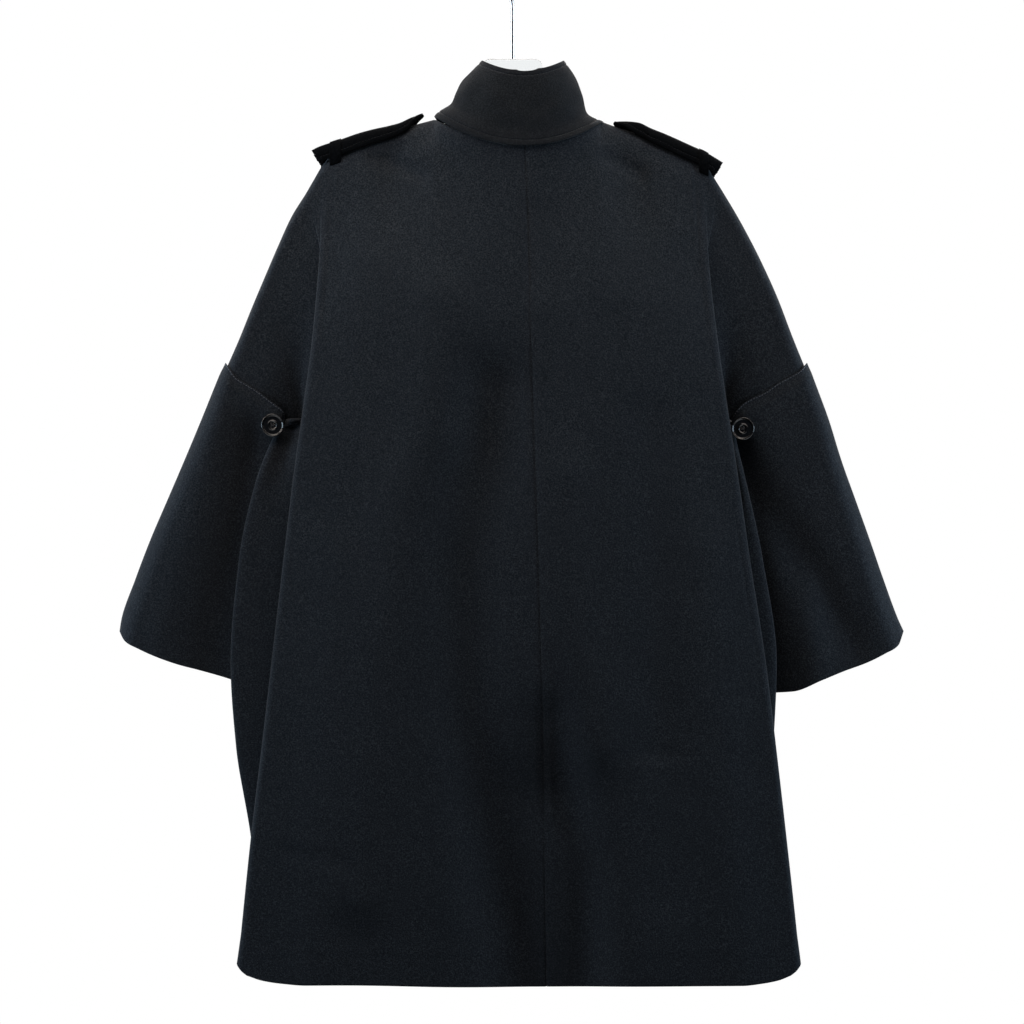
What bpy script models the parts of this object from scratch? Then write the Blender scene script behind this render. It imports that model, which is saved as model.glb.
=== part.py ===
"""A double-breasted wool coat with a dropped, cape-like cut, hanging on a clear hanger.

Units: metres, +Z up, +X the wearer's left, the coat's front faces -Y. The origin is the point where the
hanger's hook bears on its rail, and everything hangs below it. Tables are in millimetres: "down" is the
distance below that point, "out" the distance from the hook's plane towards the named side, and "deep" the
distance from the plane between front and back.
"""

import math

import bmesh
import bpy
import numpy as np

MM = 0.001

# ---- driving sizes, in millimetres ----------------------------------------------------------------------
WALL = 2.5                # thickness of the double-faced wool
SEAM_GAP = 0.3            # between two sewn pieces
LAP_GAP = 0.6             # between two cloths that lie on each other
HEM_DOWN = 1097.0         # the hem, below the hook's bearing
NECK_CENTRE = -5.0        # the neck ring's centre, out to the left
NECK_HALF_WIDTH = 86.0
NECK_DOWN = 188.5         # the neck's side points
NECK_BACK_DROP = 23.5     # how much lower the ring is at the centre back
NECK_FRONT_DROP = 66.0    # and at the centre front
NECK_BACK_DEEP = 50.0
NECK_FRONT_DEEP = 62.0
NECK_SPREAD = 1.6         # below the ring its bow spreads to this many times the neck's width
NECK_SETTLE = 55.0        # and is fully spread at this depth
CORNER_DOWN = 503.0       # where the armhole's corner meets the body's side
SIDE_SETTLE = 16.0        # the body's side lies over the sleeve from this far below the corner
FOLD_TURN = 9.0           # the panel is plain up to this far from the side fold's outermost line
FRONT_INSET = 8.0         # the front's side folds stand this much further in than the back's
OVERLAP = 66.0            # each front runs this far past the centre front
UNDERLAP_SINK = 4.6       # the left front lies this much deeper where the right one covers it
RIDGE_DEEP = 11.0         # half thickness of the cloth that rolls over the hanger
RIDGE_ROLL = 12.0         # and the height of that roll
ARM_DEEP = 16.0           # half thickness of the flattened upper arm
ARM_ROLL = 16.0           # height of the roll along its upper edge
ARM_TAIL = 0.5            # its outer edge thins towards the armhole over this share of its length
SLEEVE_DEEP = 22.0        # half thickness of the flattened bell at its hem
SLEEVE_LAP = 7.0          # the bell's top edge lies this far up over the upper arm
SLEEVE_CLEAR = 0.3        # more room between the bell and the upper arm inside it
SLEEVE_OUTER_ROUND = 17.0
SLEEVE_INNER_ROUND = (30.0, 63.0)  # width of the rounding at the armhole, and below it
STRAP_WALL = 3.4          # the shoulder straps are two thin layers
STRAP_CLEAR = 0.3         # more room between a strap and the coat
KEEPER_WALL = 2.0
COLLAR_GAP = 0.6          # degrees either side of the centre front
COLLAR_STEPS = 26
COLLAR_HEIGHTS = (0, .07, .16, .28, .45, .65, .84, 1)

SIDES = {"left": 1, "right": -1}
COLUMN = {"left": 1, "right": 2}

# ---- tables: a row for each height, columns down, left out, right out -----------------------------------
SEAM_BACK = (             # the centre back seam leans to the right side
    (212, -12.6, 12.6),
    (378, -18, 18),
    (692, -28.5, 28.5),
    (1097, -35.7, 35.7),
)
FOLD_CREST = (            # the back panel's side fold, its outermost line
    (231, 195, 198),
    (340, 202, 205),
    (419, 209, 214),
    (494, 219, 225),
    (566, 229, 236),
    (650, 239, 248),
    (758, 251.5, 264.5),
    (845, 261.5, 275),
    (942, 273, 286),
    (1075, 286.5, 300),
    (1098, 289, 302),
)
SIDE_CREST = (            # the body's own side, which lies over the sleeve
    (503, 239, 227.6),
    (510, 244.5, 230),
    (521, 250, 233),
    (566, 267.5, 243.5),
    (650, 285.6, 261.5),
    (758, 294, 276),
    (845, 288.5, 272.5),
    (942, 273, 268),
    (1098, 257, 262),
)
SIDE_SEAM = (             # the seam at the bottom of the pleat behind the side crest
    (503, 237, 226),
    (521, 235, 222),
    (560, 229, 216),
    (650, 221, 210),
    (800, 214, 210),
    (1098, 222, 228),
)
OVERARM = (               # top contour from the neck over the shoulder and down the arm
    (188.5, 81, 88),
    (193, 98, 99),
    (198, 116, 114),
    (204, 137, 134),
    (212, 160, 157),
    (222, 183, 180),
    (233, 196, 199),
    (254, 209, 213.5),
    (266, 216, 221),
    (293, 232.5, 237),
    (335, 251, 259),
    (377, 269, 278),
    (419, 286, 294),
    (443, 296.5, 303.5),
)
ELBOW_SEAM = (            # from the overarm in to the armhole's corner
    (443, 296.5, 303.5),
    (457, 290, 290),
    (468, 272, 270),
    (477, 260, 257),
    (485, 248, 244),
    (494, 241, 234),
    (503, 238, 226.8),
)
SLEEVE_OUTER = (          # the bell's outer edge
    (437, 299, 306.5),
    (461, 308.5, 315),
    (503, 325.5, 331),
    (545, 343, 344),
    (587, 361, 359),
    (629, 379, 374),
    (671, 395, 388.5),
    (713, 409.5, 404),
    (726, 411.5, 410),
)
SLEEVE_INNER = (          # the bell's inner edge, hidden behind the body's side
    (505.5, 239.5, 228.5),
    (521, 243.5, 230.5),
    (540, 249, 233),
    (600, 252, 240),
    (700, 255, 248),
    (790, 258, 256),
)

# ---- tables with other columns ---------------------------------------------------------------------------
BODY_DEEP = (             # down, at the centre back, at the centre front, at the side fold
    (188, 50, 58, 12),
    (258, 56, 63, 22),
    (340, 61, 66, 34),
    (500, 66, 68, 46),
    (700, 70, 70, 50),
    (900, 73, 72, 54),
    (1098, 76, 74, 58),
)
FOLD_WIDTH = (            # down, how far the side fold reaches in under itself
    (231, 0),
    (340, 10),
    (420, 13),
    (600, 20),
    (850, 30),
    (1098, 36),
)
SIDE_DEEP = (             # down, how far the side crest stands from the middle plane
    (503, 1),
    (510, 15),
    (521, 21),
    (540, 25),
    (566, 28),
    (700, 30),
    (1098, 27),
)
COLLAR_SIDE = (           # the collar's height as a share, half width, its middle, down
    (0.0, 90.5, -5.0, 186),
    (0.14, 77, -1.0, 180),
    (0.27, 69, -5.5, 172),
    (0.50, 65, -7.0, 160),
    (0.68, 60, -7.5, 149),
    (0.86, 52, -9.5, 138),
    (1.0, 43, -10.0, 127),
)
COLLAR_BACK = (           # share of the height, deep at the back, down at the back
    (0.0, 55.5, 215.5),
    (0.3, 53.5, 192),
    (0.6, 50, 167),
    (1.0, 44, 136.6),
)
COLLAR_FRONT = (          # share of the height, deep at the front, down at the front
    (0.0, 68.5, 257),
    (0.4, 66.5, 225),
    (1.0, 58, 177),
)
STRAP_TOP = (             # out, down at the left, down at the right: the shoulder strap's top line
    (93, 182.5, 191.5),
    (106, 187, 191.3),
    (118, 192.5, 191),
    (131, 196, 192),
    (145, 199, 198.2),
    (160, 203, 204.2),
    (183, 211, 214.5),
    (204, 218, 224.3),
    (221, 228.5, 234.5),
)
STRAP_DROP = (            # out, how far the strap's back edge hangs below its top line
    (93, 7),
    (118, 11),
    (134, 13),
    (175, 15.5),
    (221, 15.5),
)
STRAP_FRONT_DROP = 9.0    # its front edge hangs this much lower than its back edge
STRAP_SPAN = {"left": (93, 211), "right": (106, 221)}
STRAP_POINT = {"left": 17.0, "right": 25.0}
STRAP_END_SLANT = 0.72    # the outer end is cut back by this share of its drop
STRAP_END_DROP = 15.0     # up to this drop
KEEPER_SPAN = {"left": (180, 192), "right": (196, 206)}
KEEPER_TAIL = 7.0         # the loop's ends reach this far below the strap
HEM_RISE = (              # share of the way to the side fold, how much the hem rises there
    (0.0, 0),
    (0.80, 0.8),
    (0.88, 3),
    (0.95, 6.5),
    (1.0, 11.5),
)
CREASES = (               # the back's troughs: down, out left, width, deep at the top; the same at the bottom
    (360, 20, 26, 0, 1097, -8, 62, 9),
    (560, 52, 30, 0, 1097, 40, 44, 5),
    (690, -42, 16, 0, 1097, -78, 30, 6),
    (480, -135, 26, 0, 860, -150, 34, 3),
    (205, 118, 14, 3.5, 330, 150, 30, 0),
    (205, -104, 12, 3, 330, -135, 30, 0),
)
FRONT_CREASES = (         # and the front's, where out is to the left as well
    (520, 150, 30, 0, 1097, 165, 46, 7),
    (560, -160, 28, 0, 1097, -150, 44, 7),
    (210, 112, 14, 3.5, 330, 140, 30, 0),
    (210, -112, 14, 3.5, 330, -140, 30, 0),
)

BUTTON = {"radius": 12.2, "thick": 3.2, "rim": 1.8, "sides": 14}
FRONT_BUTTON_RADIUS = 14.0
FRONT_BUTTON_ROWS = (325, 425, 525, 625)
FRONT_BUTTON_OUT = 46.0
SLEEVE_BUTTON = {         # out, down, length of its thread shank
    "left": (252.2, 508.8, 3.7),
    "right": (242.2, 512.5, 3.1),
}
SLEEVE_BUTTON_LEAN = 0.2  # the button faces this much away from the body's middle
SLEEVE_BUTTON_RISE = 0.14 # and this much upwards
STRAP_BUTTON_OUT = 124.0
STRAP_BUTTON_RADIUS = 9.0
STRAP_BUTTON_SHANK = 0.9
FRONT_BUTTON_SHANK = 0.78

HOOK_WIRE = 2.0           # radius of the hook's wire
HOOK_RING = 20.0          # inner radius of the hook
HOOK_SIDES = 8
BLOCK_TOP = 124.0         # the hanger's neck block
HOOK_NECK = (             # across, up: the straight neck and the bend below the ring
    (0, -BLOCK_TOP + SEAM_GAP),
    (0, -95),
    (0, -70),
    (3.0, -55),
    (9.5, -43),
)
BLOCK_BOTTOM = 212.0
HANGER_DEEP = 4.0         # half thickness of the hanger's plate
HANGER_SEAT = 0.9         # between the hanger's arm and the cloth that hangs on it
HANGER_DIP = 0.16         # its top edge falls by this share towards the neck block
HANGER_OUT = {            # stations along each arm
    "right": (196, 194, 186, 172, 150, 128, 106, 92, 76, 56, 44, 36, 32),
    "left": (32, 36, 44, 56, 76, 92, 106, 128, 150, 172, 184, 192, 194),
}
HANGER_BLOCK = (          # out, below the block's top, above its bottom: the neck block's right half
    (31, 6, 4),
    (28.5, 1.8, 3),
    (25, 0, 2),
)


# ---- small geometry helpers ------------------------------------------------------------------------------
def smooth(xs, ys, x):
    """Monotone cubic curve through the points (xs, ys), held level beyond its ends."""
    xs = np.asarray(xs, float)
    ys = np.asarray(ys, float)
    step = np.diff(xs)
    slope = np.diff(ys) / step
    tangent = np.zeros_like(ys)
    tangent[0] = slope[0]
    tangent[-1] = slope[-1]
    for i in range(1, len(xs) - 1):
        if slope[i - 1] * slope[i] > 0:
            before = 2 * step[i] + step[i - 1]
            after = step[i] + 2 * step[i - 1]
            tangent[i] = (before + after) / (before / slope[i - 1] + after / slope[i])
    x = np.clip(x, xs[0], xs[-1])
    k = np.clip(np.searchsorted(xs, x) - 1, 0, len(step) - 1)
    t = (x - xs[k]) / step[k]
    near = (1 + 2 * t) * (1 - t) ** 2 * ys[k] + t * t * (3 - 2 * t) * ys[k + 1]
    return near + step[k] * (t * (1 - t) ** 2 * tangent[k] - t * t * (1 - t) * tangent[k + 1])


def look_up(table, column, x):
    """Smooth value of one column of a table at x, which its first column gives."""
    return smooth([row[0] for row in table], [row[column] for row in table], x)


def ease(t):
    t = np.clip(t, 0.0, 1.0)
    return t * t * (3 - 2 * t)


def roll(distance, height):
    """Quarter-round rise from 0 to 1 over a height, as cloth turns over an edge."""
    t = np.clip(distance / height, 0.0, 1.0)
    return np.sqrt(1 - (1 - t) ** 2)


def spline(keys, count_between):
    """Catmull-Rom curve through 3-D keys, with the given number of steps in each stretch."""
    keys = [np.asarray(key, float) for key in keys]
    ends = [2 * keys[0] - keys[1]] + keys + [2 * keys[-1] - keys[-2]]
    points = []
    for i, steps in enumerate(count_between):
        a, b, c, d = ends[i:i + 4]
        for j in range(steps):
            t = j / steps
            points.append(0.5 * (2 * b + (c - a) * t + (2 * a - 5 * b + 4 * c - d) * t * t
                                 + (3 * b - a - 3 * c + d) * t ** 3))
    return points + [keys[-1]]


# ---- the coat's form -------------------------------------------------------------------------------------
def ring_down(out_left, face):
    """Height of the neck ring above a place across the neck."""
    across = np.clip((out_left - NECK_CENTRE) / NECK_HALF_WIDTH, -1.0, 1.0)
    drop = NECK_BACK_DROP if face == "back" else NECK_FRONT_DROP
    return NECK_DOWN + drop * (1 - across ** 2)


def contour_down(side, out):
    """Height of the top contour at a place out from the hook: neck ring, then shoulder and arm."""
    rows = [(row[COLUMN[side]], row[0]) for row in OVERARM]
    return smooth([row[0] for row in rows], [row[1] for row in rows], out)


def face_deep(side, face, out, down):
    """How far the front or back panel stands from the middle plane."""
    left = SIDES[side] * out
    across = np.clip((left - NECK_CENTRE) / NECK_HALF_WIDTH, -1.0, 1.0)
    in_neck = abs(across) < 1
    top = ring_down(left, face) if in_neck else contour_down(side, abs(out))
    neck_deep = NECK_BACK_DEEP if face == "back" else NECK_FRONT_DEEP
    below = max(down - top, 0.0)
    spread = np.clip((left - NECK_CENTRE) / (NECK_HALF_WIDTH * NECK_SPREAD), -1.0, 1.0)
    settled = ease(below / NECK_SETTLE)
    bow = math.sqrt(1 - across ** 2) * (1 - settled) + (1 - spread ** 2) ** 2 * settled
    start = neck_deep * bow
    roll_deep = RIDGE_DEEP * (1 - bow)
    column = 1 if face == "back" else 2
    middle = look_up(BODY_DEEP, column, down)
    fold = look_up(BODY_DEEP, 3, down)
    share = np.clip(abs(out) / look_up(FOLD_CREST, COLUMN[side], down), 0.0, 1.0)
    full = middle + (fold - middle) * share ** 2.2
    deep = start + roll_deep * roll(below, RIDGE_ROLL)
    deep += (full - start - roll_deep) * ease(below / 190) ** 0.8
    for down0, left0, width0, deep0, down1, left1, width1, deep1 in (CREASES if face == "back"
                                                                    else FRONT_CREASES):
        t = (down - down0) / (down1 - down0)
        if 0 <= t <= 1:
            middle_line = left0 + (left1 - left0) * t
            width = width0 + (width1 - width0) * t
            depth = (deep0 + (deep1 - deep0) * t) * ease(t / 0.2)
            deep -= depth * math.exp(-((left - middle_line) / width) ** 2)
    if face == "front" and side == "left":
        deep -= UNDERLAP_SINK * ease((100 - out) / 18)
    return deep


def hem_down(share):
    return HEM_DOWN - look_up(HEM_RISE, 1, share)


def panel_edge(side, face, height):
    """The panel's inner edge, at a share of its height: centre back seam or front edge."""
    top_out = SEAM_BACK[0][COLUMN[side]] if face == "back" else -OVERLAP
    top = ring_down(SIDES[side] * top_out, face)
    down = top + (HEM_DOWN - top) * (1 - height)
    return (look_up(SEAM_BACK, COLUMN[side], down) if face == "back" else top_out), down


def panel_point(side, face, share, height):
    """Place on a panel: share 0 at its inner edge and 1 near the side fold, height 0 at the hem."""
    column = COLUMN[side]
    fold_top = contour_down(side, FOLD_CREST[0][column] - FOLD_TURN)
    fold_hem = hem_down(1.0)
    fold_down = fold_hem + (fold_top - fold_hem) * height
    fold_out = look_up(FOLD_CREST, column, fold_down) - FOLD_TURN
    edge_out, edge_down = panel_edge(side, face, height)
    top_edge_out, top_edge_down = panel_edge(side, face, 1.0)
    top_fold_out = FOLD_CREST[0][column] - FOLD_TURN
    out = edge_out + (fold_out - edge_out) * share
    top_out = top_edge_out + (top_fold_out - top_edge_out) * share
    left = SIDES[side] * top_out
    inside_neck = abs(left - NECK_CENTRE) < NECK_HALF_WIDTH
    top = ring_down(left, face) if inside_neck else contour_down(side, top_out)
    chord_top = top_edge_down + (fold_top - top_edge_down) * share
    chord_hem = HEM_DOWN + (fold_hem - HEM_DOWN) * share
    down = edge_down + (fold_down - edge_down) * share
    down += (top - chord_top) * height + (hem_down(share) - chord_hem) * (1 - height)
    return out, down


def side_keys(side, face, height):
    """Key points of one row round the side fold and out to the panel's outer edge."""
    column = COLUMN[side]
    inset = 0.0 if face == "back" else FRONT_INSET
    crest_top = FOLD_CREST[0][column]
    top = contour_down(side, crest_top)
    hem = hem_down(1.0)
    down = hem + (top - hem) * height
    crest = look_up(FOLD_CREST, column, down) - inset * ease((down - top) / 120)
    deep = look_up(BODY_DEEP, 3, down)
    valley = crest - look_up(FOLD_WIDTH, 1, down)
    folded = ease((down - top - 6) / 120)
    near_hem = max(1 - height / 0.05, 0.0)
    bend = ((-FOLD_TURN, 0, 0), (-3, 1.0, 5), (0, 4.6, 10), (-3, 8.4, 11))
    keys = [(crest + out, down - rise * near_hem, deep - sink) for out, sink, rise in bend]
    keys += [(valley + 6, down, deep - 11.6), (valley, down, deep - 14.2), (valley + 6, down, deep - 16.8)]
    flat_out = (-9, -4, 1, 6, 11, 16, 22)
    flat = []
    for step in flat_out:
        flat_top = contour_down(side, crest_top + step)
        flat_down = down + (flat_top - top) * (1 - ease((down - top) / 250))
        flat_deep = face_deep(side, face, crest + step, flat_down)
        flat.append((crest + step, flat_down, flat_deep))
    keys = [np.array(a) * (1 - folded) + np.array(b) * folded for a, b in zip(flat, keys)]
    last = keys[-1]
    if down > CORNER_DOWN:
        return keys + body_side_keys(side, down, inset, last)
    return keys + arm_keys(side, down, top, last)


ARM_SHARES = (0.17, 0.34, 0.50, 0.67, 0.84, 1.0)


def body_side_keys(side, down, inset, last):
    """From the fold's valley out over the side crest and in to the side seam, below the armhole."""
    column = COLUMN[side]
    crest = look_up(SIDE_CREST, column, down) - inset * ease((down - CORNER_DOWN) / 60)
    seam = look_up(SIDE_SEAM, column, down)
    deep = look_up(SIDE_DEEP, 1, down)
    settle = ease((down - CORNER_DOWN) / SIDE_SETTLE)
    turn = min(4.0, 0.3 * (crest - seam))
    made = [
        (0.5 * (last[0] + crest), down, 0.5 * (last[2] + deep + 2)),
        (crest - turn, down, deep + 2.4),
        (crest, down, deep),
        (crest - turn, down, deep - 2.8),
        (0.5 * (crest + seam), down, 0.48 * deep),
        (seam, down, 0.0),
    ]
    corner = np.array([seam, down, 0.0])
    keys = []
    for share, key in zip(ARM_SHARES, made):
        plain = last + (corner - last) * share
        plain[2] = last[2] * math.sqrt(max(1 - share ** 2, 0.0))
        keys.append(plain * (1 - settle) + np.array(key) * settle)
    return keys


def arm_keys(side, down, top, last):
    """From beside the side fold out to the elbow seam, above the armhole's corner."""
    column = COLUMN[side]
    rise = (CORNER_DOWN - down) / (CORNER_DOWN - top)
    start_out = FOLD_CREST[0][column] + 22
    end_down, end_out = ELBOW_SEAM[0][0], ELBOW_SEAM[0][column]
    corner_down = ELBOW_SEAM[-1][0]
    seam_down = corner_down + (end_down - corner_down) * rise
    seam_out = look_up(ELBOW_SEAM, column, seam_down)
    keys = []
    for share in ARM_SHARES:
        top_out = start_out + (end_out - start_out) * share
        top_down = contour_down(side, top_out)
        chord_top_down = contour_down(side, start_out)
        chord_top_down += (end_down - chord_top_down) * share
        out = last[0] + (seam_out - last[0]) * share
        here = last[1] + (seam_down - last[1]) * share
        here += (top_down - chord_top_down) * rise
        below = math.hypot(out - top_out, here - top_down)
        rolled = ARM_DEEP * roll(below, ARM_ROLL)
        deep = rolled + (last[2] - rolled) * (1 - share) ** 2
        tail = 1 - np.clip(1 - rise / ARM_TAIL, 0.0, 1.0) ** 2
        deep *= 1 - share ** 2 * (1 - tail)
        keys.append(np.array([out, here, max(deep, 0.0)]))
    return keys


def panel_grid(side, face, shares, heights, steps_between):
    """Mid surface of one half of the front or back as rows of points, hem first."""
    rows = []
    for height in heights:
        row = []
        for share in shares[:-1]:
            out, down = panel_point(side, face, share, height)
            row.append((out, down, face_deep(side, face, out, down)))
        row += [tuple(point) for point in spline(side_keys(side, face, height), steps_between)]
        rows.append(row)
    return world(rows, side, face)


def world(rows, side, face):
    """Turn rows of (out, down, deep) in millimetres into world points in metres."""
    points = np.array(rows, float)
    turn = 1 if face == "back" else -1
    return np.stack([points[..., 0] * SIDES[side], points[..., 2] * turn, -points[..., 1]], -1) * MM


# ---- walls -----------------------------------------------------------------------------------------------
def normals_of(grid, closed):
    """Unit normals of a grid of points; closed says that each row joins up with itself."""
    if closed:
        across = np.roll(grid, -1, axis=1) - np.roll(grid, 1, axis=1)
    else:
        across = np.gradient(grid, axis=1)
    along = np.gradient(grid, axis=0)
    normal = np.cross(across, along)
    return normal / np.maximum(np.linalg.norm(normal, axis=-1, keepdims=True), 1e-12)


def wall_from(name, grid, material, thick=WALL, closed=False, keep=None):
    """One closed cloth wall round a grid of mid-surface points."""
    normal = normals_of(grid, closed)
    half = thick * MM / 2
    layers = [grid + normal * half, grid - normal * half]
    if keep is not None:
        layers = [keep(layer) for layer in layers]
    rows, columns = grid.shape[:2]
    points = np.concatenate([layer.reshape(-1, 3) for layer in layers])
    last = columns if closed else columns - 1

    def at(layer, i, j):
        return layer * rows * columns + i * columns + j % columns

    faces = []
    for i in range(rows - 1):
        for j in range(last):
            faces.append((at(0, i, j), at(0, i, j + 1), at(0, i + 1, j + 1), at(0, i + 1, j)))
            faces.append((at(1, i, j), at(1, i + 1, j), at(1, i + 1, j + 1), at(1, i, j + 1)))
    for j in range(last):
        faces.append((at(0, 0, j), at(1, 0, j), at(1, 0, j + 1), at(0, 0, j + 1)))
        top = rows - 1
        faces.append((at(0, top, j), at(0, top, j + 1), at(1, top, j + 1), at(1, top, j)))
    if not closed:
        for i in range(rows - 1):
            faces.append((at(0, i, 0), at(0, i + 1, 0), at(1, i + 1, 0), at(1, i, 0)))
            end = columns - 1
            faces.append((at(0, i, end), at(1, i, end), at(1, i + 1, end), at(0, i + 1, end)))
    return solid(name, points, faces, material)


def solid(name, points, faces, material):
    """A named object from points and faces, turned to face outwards."""
    mesh = bpy.data.meshes.new(name)
    mesh.from_pydata([tuple(point) for point in points], [], faces)
    work = bmesh.new()
    work.from_mesh(mesh)
    bmesh.ops.triangulate(work, faces=[face for face in work.faces if len(face.verts) > 4])
    if work.calc_volume(signed=True) < 0:
        bmesh.ops.reverse_faces(work, faces=work.faces[:])
    work.to_mesh(mesh)
    work.free()
    mesh.shade_smooth()
    mesh.set_sharp_from_angle(angle=math.radians(50))
    mesh.materials.append(material)
    thing = bpy.data.objects.new(name, mesh)
    bpy.context.scene.collection.objects.link(thing)
    return thing


def material_of(name, colour, roughness, metallic=0.0, transmission=0.0):
    material = bpy.data.materials.new(name)
    material.use_nodes = True
    shader = material.node_tree.nodes["Principled BSDF"]
    shader.inputs["Base Color"].default_value = (*colour, 1.0)
    shader.inputs["Roughness"].default_value = roughness
    shader.inputs["Metallic"].default_value = metallic
    shader.inputs["Transmission Weight"].default_value = transmission
    return material


# ---- pieces ----------------------------------------------------------------------------------------------
PANEL_SHARES = {"back": (0, .10, .22, .34, .46, .58, .70, .80, .88, .95, 1),
                "front": (0, .09, .18, .27, .36, .46, .56, .67, .78, .87, .94, 1)}
PANEL_HEIGHTS = (0, .012, .06, .16, .27, .38, .48, .57, .62, .655, .68, .70, .73, .77, .82, .87,
                 .915, .95, .972, .986, .994, .9985, 1)
SIDE_STEPS = (1,) * 12


def panel(side, face, cloth):
    """One half of the back or front, with its upper arm."""
    grid = panel_grid(side, face, PANEL_SHARES[face], PANEL_HEIGHTS, SIDE_STEPS)
    turn = 1 if face == "back" else -1
    half_gap = SEAM_GAP / 2 * MM
    sign = SIDES[side]
    edge = grid[:, 0, 0].copy()
    seamed = -grid[:, -1, 2] > CORNER_DOWN * MM

    def keep(layer):
        layer[..., 1] = np.maximum(layer[..., 1] * turn, half_gap) * turn
        layer[seamed, -1, 1] = half_gap * turn
        layer[:, 0, 0] = edge + sign * half_gap * (face == "back")
        return layer

    return wall_from(f"{face}_{side}", grid, cloth, keep=keep)


def sleeve_point(side, share, height):
    """Place in the bell's plane: share 0 at its outer edge, 1 at the inner, height 0 at the hem."""
    column = COLUMN[side]
    outer_top, outer_hem = SLEEVE_OUTER[0][0], SLEEVE_OUTER[-1][0]
    inner_top, inner_hem = SLEEVE_INNER[0][0], SLEEVE_INNER[-1][0]
    outer_down = outer_hem + (outer_top - outer_hem) * height
    inner_down = inner_hem + (inner_top - inner_hem) * height
    outer = (look_up(SLEEVE_OUTER, column, outer_down), outer_down)
    inner = (look_up(SLEEVE_INNER, column, inner_down), inner_down)
    top = sleeve_top(side, share)
    hem = sleeve_hem(side, share)
    ends = [(look_up(SLEEVE_OUTER, column, outer_top), outer_top),
            (look_up(SLEEVE_INNER, column, inner_top), inner_top),
            (look_up(SLEEVE_OUTER, column, outer_hem), outer_hem),
            (look_up(SLEEVE_INNER, column, inner_hem), inner_hem)]
    place = []
    for k in range(2):
        chord_top = ends[0][k] + (ends[1][k] - ends[0][k]) * share
        chord_hem = ends[2][k] + (ends[3][k] - ends[2][k]) * share
        between = outer[k] + (inner[k] - outer[k]) * share
        place.append(between + (top[k] - chord_top) * height + (hem[k] - chord_hem) * (1 - height))
    return place


def sleeve_top(side, share):
    """The bell's top edge: the elbow seam's line, moved up by the lap."""
    column = COLUMN[side]
    down0, down1 = ELBOW_SEAM[0][0], ELBOW_SEAM[-1][0]
    outer = (look_up(SLEEVE_OUTER, column, SLEEVE_OUTER[0][0]), SLEEVE_OUTER[0][0])
    inner = (SLEEVE_INNER[0][column], SLEEVE_INNER[0][0])
    seam_down = down0 + (down1 - down0) * share
    seam_out = look_up(ELBOW_SEAM, column, seam_down)
    lift = SLEEVE_LAP * ease((1 - share) / 0.12) * ease(share / 0.2 + 0.45)
    place = np.array([seam_out - 0.35 * lift, seam_down - 0.94 * lift])
    start = np.array([outer[0] - seam_at(side, 0.0)[0], outer[1] - seam_at(side, 0.0)[1]])
    finish = np.array([inner[0] - seam_at(side, 1.0)[0], inner[1] - seam_at(side, 1.0)[1]])
    lift0 = SLEEVE_LAP * ease(0.45)
    start += np.array([0.35 * lift0, 0.94 * lift0])
    return place + start * (1 - share) ** 4 + finish * share ** 4


def seam_at(side, share):
    down0, down1 = ELBOW_SEAM[0][0], ELBOW_SEAM[-1][0]
    down = down0 + (down1 - down0) * share
    return look_up(ELBOW_SEAM, COLUMN[side], down), down


SLEEVE_HEM = (            # share from the outer tip in, down at the left, down at the right
    (0.0, 726, 726),
    (0.03, 735, 739),
    (0.12, 743, 748),
    (0.25, 752, 758),
    (0.40, 760, 766.5),
    (0.55, 766, 776),
    (0.75, 775, 788),
    (1.0, 790, 790),
)


def sleeve_hem(side, share):
    column = COLUMN[side]
    outer = look_up(SLEEVE_OUTER, column, SLEEVE_OUTER[-1][0])
    inner = look_up(SLEEVE_INNER, column, SLEEVE_INNER[-1][0])
    return outer + (inner - outer) * share, look_up(SLEEVE_HEM, column, share)


def sleeve_deep(share, height, width):
    """Half thickness of the flattened bell; its inner edge is thick at the armhole and thin below."""
    full = ARM_DEEP + WALL + LAP_GAP + SLEEVE_CLEAR + (SLEEVE_DEEP - ARM_DEEP) * (1 - height)
    at_armhole, below = SLEEVE_INNER_ROUND
    inner_round = at_armhole + (below - at_armhole) * ease((1 - height) / 0.16)
    return full * roll(share * width, SLEEVE_OUTER_ROUND) * roll((1 - share) * width, inner_round)


def sleeve_surface(side, out, down):
    """How far the bell's mid surface stands from the middle plane at a place near its top edge."""
    nearest = None
    for height in np.linspace(0.85, 1.0, 31):
        width = math.dist(sleeve_point(side, 0.0, height), sleeve_point(side, 1.0, height))
        for share in np.linspace(0.5, 1.0, 51):
            away = math.dist(sleeve_point(side, share, height), (out, down))
            if nearest is None or away < nearest[0]:
                nearest = (away, sleeve_deep(share, height, width))
    return nearest[1]


SLEEVE_STEPS = 11
SLEEVE_HEIGHTS = (0, .03, .12, .24, .37, .50, .62, .73, .81, .87, .92, .955, .98, 1)


def sleeve(side, cloth):
    """The bell: a flattened tube, its back and front walls joined by folds at both edges."""
    shares = [0.5 - 0.5 * math.cos(math.pi * k / SLEEVE_STEPS) for k in range(SLEEVE_STEPS + 1)]
    rows = []
    for height in SLEEVE_HEIGHTS:
        outer = sleeve_point(side, 0.0, height)
        inner = sleeve_point(side, 1.0, height)
        width = math.dist(outer, inner)
        back = []
        for share in shares:
            out, down = sleeve_point(side, share, height)
            back.append((out, down, sleeve_deep(share, height, width)))
        front = [(out, down, -deep) for out, down, deep in back[-2:0:-1]]
        rows.append(back + front)
    return wall_from(f"sleeve_{side}", world(rows, side, "back"), cloth, closed=True)


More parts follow.
